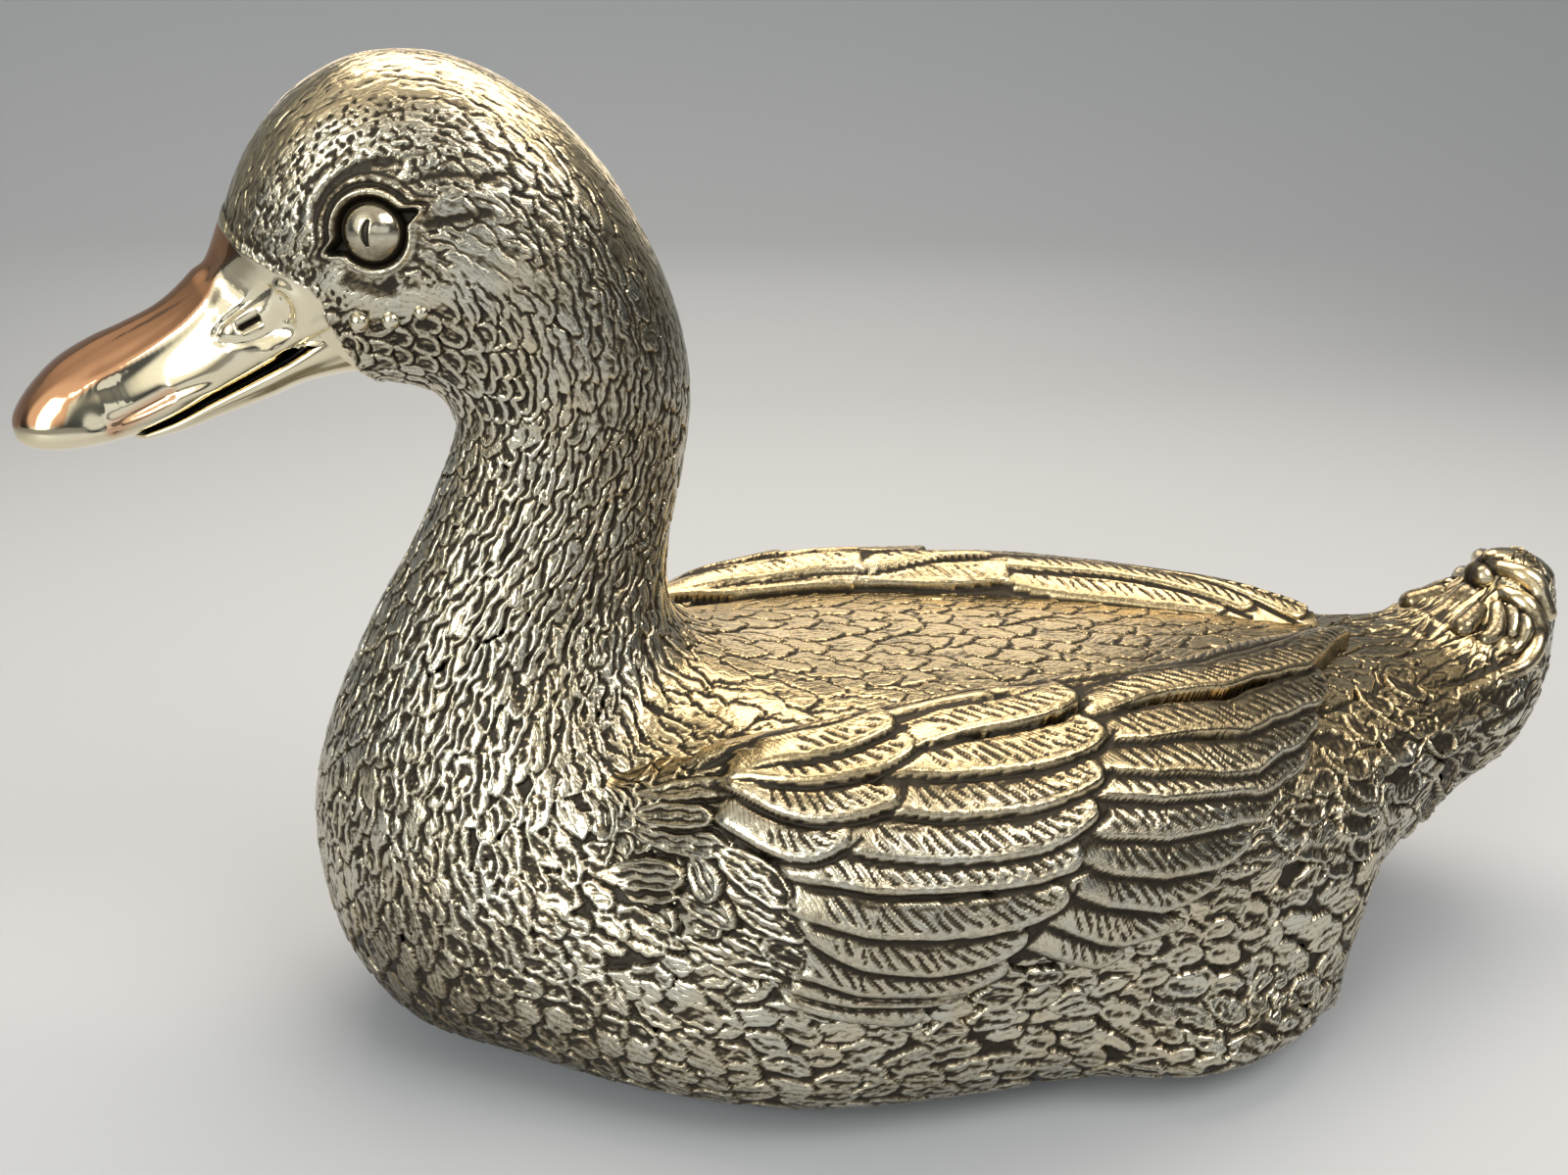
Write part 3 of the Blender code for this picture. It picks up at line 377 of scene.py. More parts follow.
def featherRows(skin, plan, seed, rows=(-1, 99)):
    # rows of feathers at even real spacing, staggered like tiles, then pressed from the
    # tail forwards so that each row lies over the one behind it
    dice = np.random.default_rng(seed)
    tGrid = np.repeat(skin["t"][:, None], skin["p"].shape[1], 1)
    sGrid = skin["s"] if skin["s"].ndim == 2 else np.repeat(skin["s"][None, :], len(skin["t"]), 0)
    form = plan(tGrid, sGrid)
    skin["h"] -= form["bed"]
    skin["stain"] += form["bedStain"]
    count = np.cumsum(skin["rowStep"] / (form["length"] * form["lap"]), axis=0)
    places = []
    for level in np.arange(0.5, count.max(), 1.0):
        row = np.argmax(count >= level, axis=0)
        good = count[-1] >= level
        cells = (row, np.arange(len(row)))
        line = skin["p"][cells]
        if skin["wrap"]:
            step = np.linalg.norm(np.roll(line, -1, 0) - line, axis=1)
        else:
            step = np.linalg.norm(np.diff(line, axis=0, append=line[-1:]), axis=1)
        run = np.cumsum(step / (form["width"][cells] * form["apart"][cells]))
        offset = 0.5 * (int(level) % 2) + dice.uniform(-0.08, 0.08)
        marks = np.nonzero(np.diff(np.floor(run + offset), prepend=0) > 0)[0]
        for j in marks:
            if good[j]:
                places.append((row[j], j))
    for i, j in places:
        loose = form["loose"][i, j]
        length = form["length"][i, j]
        shift = dice.normal() * loose * length / max(skin["rowStep"][i, j], 0.1)
        i = int(np.clip(i + shift, 0, len(skin["t"]) - 1))
        shift = dice.normal() * loose * form["width"][i, j] / max(skin["colStep"][i, j], 0.1)
        j = int(j + shift)
        j = j % skin["p"].shape[1] if skin["wrap"] else min(max(j, 0), skin["p"].shape[1] - 1)
        if skin["taken"][i, j] or not rows[0] <= skin["t"][i] <= rows[1]:
            continue
        size = 1 + dice.normal() * (0.03 + loose * 0.8)
        one = {key: float(value[i, j]) for key, value in form.items()}
        one["length"] *= min(max(size, 0.6), 1.5)
        one["width"] *= min(max(1 + dice.normal() * (0.02 + loose * 0.6), 0.6), 1.5)
        one["rise"] *= 1 + dice.normal() * 0.15
        dished = (dice.uniform() < one["dished"]) * dice.uniform(0.6, 1.3)
        one["dish"] *= dished
        one["rim"] *= 0.25 + 0.75 * min(dished, 1.0)
        one["shade"] *= dished
        if one["rise"] > 0.01:
            bend = dice.normal() * (0.04 + 0.45 * loose)
            pressFeather(skin, i, j, dice.normal() * (0.03 + loose * 0.9), one, bend)
    return len(places)


def blur(values, cells, wrap):
    # a soft average over some cells of the grid
    reach = int(cells * 2.5)
    kernel = np.exp(-0.5 * (np.arange(-reach, reach + 1) / cells) ** 2)
    kernel /= kernel.sum()
    side = np.pad(values, ((0, 0), (reach, reach)), mode="wrap" if wrap else "edge")
    out = sum(k * side[:, n:n + values.shape[1]] for n, k in enumerate(kernel))
    tall = np.pad(out, ((reach, reach), (0, 0)), mode="edge")
    return sum(k * tall[n:n + values.shape[0]] for n, k in enumerate(kernel))


def wear(skin, height, give, share):
    # polishing has worn the tops of the relief down to one level
    cap = blur(skin["h"], 9.0, skin["wrap"]) + height
    worn = cap - give * np.logaddexp(0, (cap - skin["h"]) / give)
    skin["h"] = mix(skin["h"], worn, share)


def darken(skin, depth=0.30):
    # patina lies where the relief is lower than what surrounds it
    h = skin["h"]
    fine = blur(h, 2.2, skin["wrap"]) - h
    broad = blur(h, 6.0, skin["wrap"]) - h
    hollow = smooth((fine * 1.3 + broad * 0.9) / depth + 0.22)
    skin["patina"] = np.clip(hollow * (1 - skin["polish"]) + skin["stain"], 0, 1)
    # upward-facing surfaces are marked for the painted warm light from above
    skin["upper"] = smooth((skin["n"][..., 2] - 0.45) / 0.4)


# projection of the photograph, to find places on the near side by its pixels
turn, tilt = math.radians(view["turn"]), math.radians(view["tilt"])
eyePoint = np.array(view["place"])
lookWay = np.array([math.sin(turn) * math.cos(tilt), math.cos(turn) * math.cos(tilt),
                    -math.sin(tilt)])
rightWay = np.array([math.cos(turn), -math.sin(turn), 0])
upWay = np.cross(rightWay, lookWay)
focal = view["photo"][0] / 2 / math.tan(math.radians(view["fieldOfView"] / 2))


def pixelsOf(points):
    rel = points - eyePoint
    depth = rel @ lookWay
    return np.stack([view["photo"][0] / 2 + focal * (rel @ rightWay) / depth,
                     view["photo"][1] / 2 - focal * (rel @ upWay) / depth], axis=-1)


# places in space from the photograph: a pixel and the distance across, in mm
def spotAt(pixel, across):
    offX, offY = pixel[0] - view["photo"][0] / 2, pixel[1] - view["photo"][1] / 2
    ray = lookWay + rightWay * offX / focal - upWay * offY / focal
    return eyePoint + ray * (across - eyePoint[1]) / ray[1]


def locate(skin, pixel):
    # the row and column of the skin that a pixel of the photograph shows
    if "pixels" not in skin:
        skin["pixels"] = pixelsOf(skin["p"])
        skin["seen"] = np.einsum("ijk,ijk->ij", skin["n"], eyePoint - skin["p"]) > 0
    off = np.linalg.norm(skin["pixels"] - np.array(pixel), axis=2) + np.where(skin["seen"], 0, 1e4)
    return np.unravel_index(np.argmin(off), off.shape)


def pathOn(skin, pixels):
    # a smooth line over the surface through places seen in the photograph
    samples, passes = 44, 12
    spots = np.array([locate(skin, pixel) for pixel in pixels], float)
    table = np.array([splineAt(spots, u) for u in np.linspace(0, len(spots) - 1, samples)])
    for _ in range(passes):
        table[1:-1] = (table[:-2] + 2 * table[1:-1] + table[2:]) / 4
    top = np.array(skin["p"].shape[:2]) - 1.001
    table = np.clip(table, 0, top)
    i, j = table.astype(int).T
    u, v = (table - table.astype(int)).T[..., None]
    near = (1 - v) * skin["p"][i, j] + v * skin["p"][i, j + 1]
    after = (1 - v) * skin["p"][i + 1, j] + v * skin["p"][i + 1, j + 1]
    line = (1 - u) * near + u * after
    return {"i": i, "j": j, "line": line, "normal": skin["n"][i, j]}


def alongPath(skin, path, reach):
    # for the points near a line: distance along it and to its left, seen from outside
    stepRow = max(float(np.median(skin["rowStep"][path["i"], path["j"]])), 0.1)
    stepCol = max(float(np.median(skin["colStep"][path["i"], path["j"]])), 0.1)
    high, wide = skin["p"].shape[:2]
    spare = int(reach / stepRow * 1.4) + 1
    rows = np.arange(max(path["i"].min() - spare, 0), min(path["i"].max() + spare + 1, high))
    spare = int(reach / stepCol * 1.4) + 1
    first, past = path["j"].min() - spare, path["j"].max() + spare + 1
    if skin["wrap"]:
        cols = np.arange(first, past) % wide
    else:
        cols = np.arange(max(first, 0), min(past, wide))
    ix = np.ix_(rows, cols)
    points = skin["p"][ix]
    line = path["line"]
    way = unit(np.gradient(line, axis=0))
    left = unit(np.cross(path["normal"], way))
    run = runOf(line)
    gap = np.linalg.norm(points[:, :, None, :] - line[None, None], axis=3)
    near = np.argmin(gap, axis=2)
    rel = points - line[near]
    x = run[near] + np.einsum("ijk,ijk->ij", rel, way[near])
    y = np.einsum("ijk,ijk->ij", rel, left[near])
    return ix, x, y, run[-1]


# long feathers, in mm: from cut to cut, and the length over which the root fades in
bladeForm = {"pitch": 2.8, "root": 5.0}


def pressBlade(skin, pixels, width, level, rise, phase, within, flip=1.0, slash=0.46):
    # one long wing feather, given by its lower rim from root to tip: a smooth rolled rim
    # over a drop, a flatter vane above it, and slanting cuts between its barbs
    path = pathOn(skin, pixels)
    pitch, root = bladeForm["pitch"], bladeForm["root"]
    ix, x, y, length = alongPath(skin, path, width + 2.0)
    y = y * flip
    q = y / width
    ahead, corner = length + 0.6 - x, 0.34 * width
    tip = corner - np.hypot(np.clip(corner - y, 0, None), np.clip(corner - ahead, 0, None))
    edge = np.where((y < corner) & (ahead < corner), tip, np.minimum(y, ahead))
    weight = smooth(edge / 0.4 + 0.3) * smooth((width - y) / 2.6) * smooth((x + root + 3.0) / root)
    weight = weight * within[ix]
    roll = np.sqrt(np.clip(1 - (1 - np.clip(edge / 1.7, 0, 1)) ** 2, 0, 1))
    value = level + rise * (0.10 + 0.90 * roll) * (1 - 0.78 * smooth((q - 0.10) / 0.85))
    drift = np.sin(x * 0.55 + phase * 9) + 0.6 * np.sin(x * 1.31 + phase * 23)
    cut = np.sin(fullTurn * ((x + y * 1.05) / pitch + phase + 0.12 * drift))
    patchy = 0.5 * np.sin(x * 0.33 + phase * 40) + 0.3 * np.sin(x * 1.9 + phase * 70)
    reach = 0.70 + 0.08 * drift
    band = smooth((y - 1.3) / 0.9) * smooth((reach - q) / 0.25)
    band = band * smooth((length - x) / 3) * smooth((x - 1) / 4)
    cuts = smooth(cut * 1.4 - 0.15) * band * smooth(1.15 + patchy)
    value = value - slash * cuts
    value = value - 0.10 * np.sin(fullTurn * (y / 1.7 + 0.1 * drift)) * smooth((q - 0.5) / 0.2)
    height = skin["h"][ix]
    height = height * (1 - weight) + value * weight
    under = np.exp(-((y + 0.5) / 0.45) ** 2) * smooth((x + 1) / 3)
    under = under * (x < length + 1.5) * (y < 0.4) * within[ix]
    skin["h"][ix] = height - 0.5 * under
    # oxide in the cuts; the vane darkens towards its upper part, which lies under the next feather's rim,
    # and in the groove under its own rim: partly oxide in the recess, partly painted shade
    own = 0.24 * smooth((q - 0.38) / 0.4) + 0.30 * cuts
    skin["stain"][ix] = skin["stain"][ix] * (1 - weight) + own * weight + 0.35 * under
    barb = (x + y * 1.05) * smooth((y - 1.6) / 0.8) + barbStart
    skin["barb"][ix] = np.where(weight > 0.5, barb, skin["barb"][ix])
    skin["cover"][ix] = np.maximum(skin["cover"][ix], weight)


def drawLines(skin, lines, perMm):
    # rounded ridges, or grooves where the height is negative, drawn on the side that the
    # photograph shows, by its pixels, and on the far side too
    if "pixels" not in skin:
        locate(skin, lines[0][0][0])
    for pixels, width, height, stain, calm in lines:
        spots = np.array(pixels, float)
        steps = np.linspace(0, len(spots) - 1, 12 * len(spots))
        line = np.array([splineAt(spots, u) for u in steps])
        reach = width * perMm * 1.5
        low, high = line.min(0) - reach, line.max(0) + reach
        near = skin["seen"] & (skin["pixels"] > low).all(2) & (skin["pixels"] < high).all(2)
        rows, cols = np.nonzero(near)
        if len(rows) == 0:
            continue
        gap = np.linalg.norm(skin["pixels"][rows, cols][:, None] - line[None], axis=2)
        which = gap.argmin(1)
        share = which / (len(line) - 1)
        ends = smooth(share / 0.22 + 0.10) * smooth((1 - share) / 0.22 + 0.10)
        near = gap.min(1) / (0.5 * width * perMm)
        bump = np.exp(-near ** 2) * ends
        plain = calm * np.exp(-(near / 1.2) ** 4) * ends
        for columns in (cols, (-cols) % skin["p"].shape[1]):
            skin["h"][rows, columns] = skin["h"][rows, columns] * (1 - plain) + height * bump
            own = skin["stain"][rows, columns] * (1 - plain)
            skin["stain"][rows, columns] = np.clip(own + stain * bump, -1, 1)


def addObject(name, data):
    item = bpy.data.objects.new(name, data)
    bpy.context.scene.collection.objects.link(item)
    return item


def closing(edge, start):
    # a band from a loop of points to a new ring, and the fan that closes the ring
    rim = start + np.arange(len(edge))
    band = np.stack([edge, np.roll(edge, -1), np.roll(rim, -1), rim], axis=-1)
    return band, np.stack([rim, np.roll(rim, -1), np.full(len(edge), start + len(edge))], axis=-1)


def meshOf(name, points, faces, attributes, material, normals=None):
    mesh = bpy.data.meshes.new(name)
    mesh.vertices.add(len(points))
    mesh.vertices.foreach_set("co", (points * mm).astype(np.float32).ravel())
    flat = np.concatenate([f.ravel() for f in faces])
    sizes = np.concatenate([np.full(len(f), f.shape[1]) for f in faces])
    mesh.loops.add(len(flat))
    mesh.loops.foreach_set("vertex_index", flat.astype(np.int32))
    mesh.polygons.add(len(sizes))
    starts = np.concatenate([[0], np.cumsum(sizes)[:-1]])
    mesh.polygons.foreach_set("loop_start", starts.astype(np.int32))
    mesh.update(calc_edges=True)
    mesh.validate()
    for key, values in attributes.items():
        layer = mesh.attributes.new(key, "FLOAT", "POINT")
        layer.data.foreach_set("value", values.astype(np.float32))
    mesh.shade_smooth()
    if normals is not None:
        mesh.normals_split_custom_set_from_vertices(normals.astype(np.float32))
    mesh.materials.append(material)
    return addObject(name, mesh)


def skinPiece(name, skin, rows, material, capTuck=3.0):
    # a closed solid from some rows of a ring skin, its ends closed a little inside
    pick = slice(*rows)
    points = skin["made"][pick]
    count, size = points.shape[:2]
    verts = [points.reshape(-1, 3)]
    index = np.arange(count * size).reshape(count, size)
    nxt = np.roll(index, -1, 1)
    quads = np.stack([index[:-1], index[1:], nxt[1:], nxt[:-1]], axis=-1).reshape(-1, 4)
    normals = [skin["madeNormal"][pick].reshape(-1, 3)]
    fans = []
    for end, step in ((0, 1), (count - 1, -1)):
        middle = points[end].mean(0)
        inward = unit(points[end + step].mean(0) - middle) * capTuck
        ring = middle + (points[end] - middle) * 0.93 + inward
        start = count * size + len(fans) // 2 * (size + 1)
        verts.append(np.concatenate([ring, [ring.mean(0)]]))
        normals.append(np.repeat(-unit(inward)[None], size + 1, 0))
        band, disc = closing(index[end], start)
        if end:
            band, disc = band[:, ::-1], disc[:, ::-1]
        fans += [band, disc]
    attributes = {}
    for key in ("patina", "polish", "upper", "barb"):
        values = skin[key][pick].ravel()
        attributes[key] = np.concatenate([values, np.ones(2 * (size + 1)) * (key == "patina")])
    faces = [quads] + fans
    verts, normals = np.concatenate(verts), np.concatenate(normals)
    return meshOf(name, verts, faces, attributes, material, normals)


def shape(skin, offset):
    # the relief raised off the skin, and the normals of the whole, so that the pieces
    # cut from it meet without a line
    points = skin["p"] + skin["n"] * (skin["h"] + offset)[..., None]
    along = np.gradient(points, axis=0)
    around = (np.roll(points, -1, 1) - np.roll(points, 1, 1)) / 2
    normal = unit(np.cross(along, around))
    skin.setdefault("upper", np.zeros(points.shape[:2]))
    skin["made"] = np.clip(points, *frameBox)
    skin["madeNormal"] = normal * np.sign((normal * skin["n"]).sum(2, keepdims=True).mean())


# lines on the bill and face in the photograph's pixels: width, height and stain in mm
billLines = [
    # the crease along the top, the rounded edge beside it, and the flat side below that
    (((222, 250), (217, 271), (189, 299), (153, 322), (102, 350), (64, 375), (43, 391)),
     1.5, -0.20, 0.0, 0),
    (((243, 258), (224, 276), (213, 302), (189, 330), (163, 350), (127, 373), (97, 389), (71, 406)),
     2.6, 0.42, 0.0, 0),
    (((246, 284), (214, 330), (176, 368), (140, 392), (104, 410)), 7.5, -0.40, 0.0, 0),
    # the dark hollow over the lip
    (((178, 400), (158, 412), (134, 426), (112, 438)), 3.6, -0.45, 0.12, 0),
    # the nostril's mound, the groove over it and the slit in it
    (((222, 342), (240, 332), (262, 320), (284, 316)), 4.8, 0.60, 0.0, 0),
    (((214, 346), (226, 330), (246, 314), (268, 298), (276, 290)), 1.2, -0.60, 0.40, 0),
    (((214, 350), (240, 350), (266, 344), (286, 332)), 1.3, -0.45, 0.25, 0),
    (((241, 336), (252, 330), (266, 323)), 1.9, -1.20, 1.0, 0),
    # the fold from over the nostril round to the corner of the mouth
    (((276, 290), (290, 296), (302, 308), (306, 322), (302, 334)), 2.4, 0.50, 0.0, 0),
    (((280, 298), (289, 306), (294, 318), (290, 330)), 1.2, -0.50, 0.30, 0),
    # the fleshy roll above the corner of the mouth
    (((350, 321), (330, 330), (306, 342), (284, 354), (264, 364)), 3.2, 0.65, 0.0, 0),
    (((352, 329), (330, 341), (306, 353), (280, 366)), 1.3, -0.50, 0.50, 0),
    # the lip of the upper bill towards its tip
    (((232, 394), (200, 402), (172, 414), (140, 430), (112, 440), (86, 446)), 1.5, 0.30, 0.0, 0),
    (((226, 386), (196, 394), (168, 405), (136, 420), (108, 430)), 1.4, -0.24, 0.10, 0),
]
# round the eye: smooth worn metal under it, a dark hollow, and folds over the brow
faceLines = [
    (((318, 283), (340, 293), (372, 305), (404, 311), (440, 302), (474, 290)), 5.2, 0.28, -0.2, 1.0),
    (((452, 268), (474, 272), (500, 282), (530, 284), (552, 282)), 5.0, 0.24, -0.1, 0.85),
    (((466, 246), (486, 252), (510, 266), (536, 280)), 3.4, 0.28, 0.0, 0.85),
    (((346, 281), (362, 290), (386, 296), (408, 294)), 3.6, -0.20, 0.10, 0.6),
    (((322, 236), (325, 212), (338, 190), (362, 172), (392, 164), (418, 170)), 3.0, -0.30, 0.50, 0.4),
    (((312, 240), (314, 210), (328, 184), (352, 164), (384, 154), (414, 156)), 1.6, 0.20, 0.0, 0.2),
    (((304, 244), (304, 214), (316, 186), (340, 162), (372, 148)), 1.3, -0.15, 0.12, 0.1),
    (((428, 232), (448, 226), (474, 222), (504, 214)), 2.2, -0.30, 0.45, 0.3),
    (((434, 208), (460, 200), (492, 196), (524, 202)), 1.6, 0.25, 0.0, 0.3),
    (((420, 184), (448, 178), (484, 178), (516, 186)), 1.8, -0.25, 0.35, 0.2),
]
# the tail: locks that run together at its tip, and the thick rim behind
tailLines = [
    (((1576, 622), (1571, 666), (1532, 690), (1477, 716)), 4.0, 0.90, -0.1, 0.4),
    (((1572, 670), (1554, 714), (1520, 755)), 4.4, 0.90, -0.1, 0.4),
    (((1562, 640), (1548, 668), (1508, 688), (1470, 700)), 1.8, -0.55, 0.5, 0.1),
    (((1566, 690), (1548, 722), (1508, 744)), 1.8, -0.50, 0.5, 0.1),
    (((1469, 743), (1498, 740), (1535, 721)), 3.0, 0.60, 0.0, 0.3),
    (((1480, 611), (1492, 640), (1506, 662), (1518, 650)), 4.2, 0.70, 0.0, 0.2),
    (((1513, 612), (1526, 640), (1540, 668)), 3.6, 0.70, 0.0, 0.2),
    (((1524, 569), (1552, 573), (1578, 588)), 2.2, 0.55, 0.0, 0.2),
    (((1529, 590), (1547, 600), (1559, 617)), 2.0, 0.50, 0.0, 0.2),
    (((1387, 620), (1420, 618), (1452, 626), (1478, 642)), 1.6, 0.35, 0.0, 0.1),
    (((1390, 640), (1424, 638), (1456, 648)), 1.5, 0.35, 0.0, 0.1),
    (((1404, 774), (1428, 779), (1445, 765)), 3.0, 0.60, -0.1, 0.3),
    (((1365, 825), (1392, 828), (1416, 813)), 3.0, 0.60, -0.1, 0.3),
    (((1363, 845), (1387, 854), (1414, 835)), 2.6, 0.55, -0.1, 0.3),
    (((1301, 847), (1329, 862), (1343, 852)), 2.6, 0.55, -0.1, 0.3),
]


# nodes are added by one small function; a node given as an input means its first output
def node(tree, kind, settings=None, inputs=None):
    item = tree.nodes.new(kind)
    for key, value in (settings or {}).items():
        setattr(item, key, value)
    for key, value in (inputs or {}).items():
        if isinstance(value, bpy.types.Node):
            value = value.outputs[0]
        if isinstance(value, bpy.types.NodeSocket):
            tree.links.new(value, item.inputs[key])
        else:
            item.inputs[key].default_value = value
    return item


# settings that many nodes share
plus, minus = {"operation": "ADD"}, {"operation": "SUBTRACT"}
times, timesPlus = {"operation": "MULTIPLY"}, {"operation": "MULTIPLY_ADD"}
inColour = {"data_type": "RGBA"}
eased = {"interpolation_type": "SMOOTHSTEP"}


def newMaterial(name):
    material = bpy.data.materials.new(name)
    material.use_nodes = True
    tree = material.node_tree
    tree.nodes.clear()
    out = tree.nodes.new("ShaderNodeOutputMaterial")
    shader = tree.nodes.new("ShaderNodeBsdfPrincipled")
    tree.links.new(shader.outputs[0], out.inputs["Surface"])
    return material, tree, shader


silverFinish = {
    "bright": "#CBC9BC",      # polished silver with a trace of warm tarnish
    "warm": "#D2BF98",        # golden tone, laid in random clouds, and as painted warm light from above on the crown, the back and the wings' tops
    "tarnish": "#6E6149",
    "hollow": "#2B251B",      # oxide left in the grooves
    "roughBright": 0.17,
    "roughDark": 0.48,
    "polished": "#EAE0C4",    # the bare skin behind the bill
    "scratchSize": 0.35,      # mm
    "speckSize": 0.8,         # mm
    "barbPitch": 1.15,        # mm
    "barbBend": 2.6,          # mm, over which the barbs wander
    "barbDepth": 0.20,        # how dark the barbs are
    "cloudSize": 9.0,         # mm
    "ragged": 0.8,            # how far the specks eat into the edge of the oxide
    "film": 0.9, "filmFrom": 0.08, "filmTo": 0.50,      # tarnish, and the patina it comes between
    "darkFrom": 0.40, "darkTo": 0.95,                   # the same for the black oxide
    "oxideMetal": 0.55,       # how metallic the oxide still looks
    "bump": 0.30,             # strength of the pits, where nothing is polished
    "bumpPolished": 0.03,
    "bumpDepth": 0.12,        # mm
}


def castSilver():
    # oxidised cast silver, wiped back with polish: bright worn tops, black grooves
    look = silverFinish
    material, tree, shader = newMaterial("oxidisedCastSilver")
    place = node(tree, "ShaderNodeTexCoord").outputs["Object"]
    patina, polish, upper, barb = (
        node(tree, "ShaderNodeAttribute", {"attribute_name": word}).outputs["Fac"]
        for word in ("patina", "polish", "upper", "barb"))
    clouds = node(tree, "ShaderNodeTexNoise", None, {
        "Vector": place, "Scale": 1 / (look["cloudSize"] * mm), "Detail": 4.0})
    speck = node(tree, "ShaderNodeTexNoise", None, {
        "Vector": place, "Scale": 1 / (look["speckSize"] * mm), "Detail": 3.0, "Roughness": 0.65})
    plain = node(tree, "ShaderNodeMath", minus, {0: 1.0, 1: polish})
    ragged = node(tree, "ShaderNodeMath", timesPlus, {
        0: speck.outputs["Fac"], 1: look["ragged"], 2: -0.5 * look["ragged"]})
    ragged = node(tree, "ShaderNodeMath", times, {0: ragged, 1: plain})
    edge = node(tree, "ShaderNodeMath", plus, {0: patina, 1: ragged})
    # fine barbs scratched along each feather, broken up by the specks
    bend = node(tree, "ShaderNodeTexNoise", None, {
        "Vector": place, "Scale": 1 / (look["barbBend"] * mm), "Detail": 1.0}).outputs["Fac"]
    phase = node(tree, "ShaderNodeMath", times, {0: barb, 1: fullTurn / look["barbPitch"]})
    phase = node(tree, "ShaderNodeMath", timesPlus, {0: bend, 1: 5.0, 2: phase})
    wave = node(tree, "ShaderNodeMath", {"operation": "SINE"}, {0: phase})
    wave = node(tree, "ShaderNodeMath", timesPlus, {0: speck.outputs["Fac"], 1: 2.4, 2: wave})
    barbs = node(tree, "ShaderNodeMapRange", eased, {
        "Value": wave, "From Min": 1.30, "From Max": 2.2})
    feathered = node(tree, "ShaderNodeMath", {"operation": "GREATER_THAN"}, {0: barb, 1: 0.5})
    barbs = node(tree, "ShaderNodeMath", times, {0: barbs, 1: plain})
    barbs = node(tree, "ShaderNodeMath", times, {0: barbs, 1: feathered})
    edge = node(tree, "ShaderNodeMath", timesPlus, {
        0: barbs, 1: look["barbDepth"], 2: edge})
    dark = node(tree, "ShaderNodeMapRange", eased, {
        "Value": edge, "From Min": look["darkFrom"], "From Max": look["darkTo"]})
    # the warm colour comes in with random clouds of tone, and as painted warm light from above where the
    # upper attribute marks upward-facing tops
    tone = node(tree, "ShaderNodeMapRange", None, {
        "Value": clouds.outputs["Fac"], "From Min": 0.35, "From Max": 0.7, "To Max": 0.5})
    tone = node(tree, "ShaderNodeMath", {"operation": "ADD", "use_clamp": True}, {
        0: tone, 1: upper})
    base = node(tree, "ShaderNodeMix", inColour, {
        0: tone, 6: toLinear(look["bright"]), 7: toLinear(look["warm"])}).outputs[2]
    film = node(tree, "ShaderNodeMapRange", None, {
        "Value": edge, "From Min": look["filmFrom"], "From Max": look["filmTo"],
        "To Max": look["film"]})
    for cover, code in ((film, look["tarnish"]), (polish, look["polished"]), (dark, look["hollow"])):
        base = node(tree, "ShaderNodeMix", inColour, {0: cover, 6: base, 7: toLinear(code)}).outputs[2]
    rough = node(tree, "ShaderNodeMapRange", None, {
        "Value": dark, "To Min": look["roughBright"], "To Max": look["roughDark"]}).outputs[0]
    smoothed = node(tree, "ShaderNodeMapRange", None, {
        "Value": polish, "To Min": 1.0, "To Max": 0.45})
    rough = node(tree, "ShaderNodeMath", times, {0: rough, 1: smoothed}).outputs[0]
    metal = node(tree, "ShaderNodeMapRange", None, {
        "Value": dark, "To Min": 1.0, "To Max": look["oxideMetal"]}).outputs[0]
    pits = node(tree, "ShaderNodeTexNoise", None, {
        "Vector": place, "Scale": 1 / (look["scratchSize"] * mm), "Detail": 2.0})
    strength = node(tree, "ShaderNodeMapRange", None, {
        "Value": polish, "To Min": look["bump"], "To Max": look["bumpPolished"]})
    fine = node(tree, "ShaderNodeMath", timesPlus, {0: barbs, 1: -0.8, 2: pits.outputs["Fac"]})
    bump = node(tree, "ShaderNodeBump", None, {
        "Height": fine, "Strength": strength, "Distance": look["bumpDepth"] * mm})
    tree.links.new(base, shader.inputs["Base Color"])
    tree.links.new(rough, shader.inputs["Roughness"])
    tree.links.new(metal, shader.inputs["Metallic"])
    tree.links.new(bump.outputs[0], shader.inputs["Normal"])
    return material


billFinish = {
    "bright": "#EEE5CB",
    "warm": "#E6D9B8",
    "copperReflection": "#D3A17C",      # painted warm reflection along the bill's top, also standing for plating worn through to copper
    "hollow": "#1C1813",
    "streakSize": 2.5,        # mm
    "stretch": (1.0, 5.0, 5.0),
    "cloudSize": 14,          # mm
    "roughLeast": 0.045,
    "roughMost": 0.12,
    "roughHollow": 0.35,      # added in the dark grooves
}


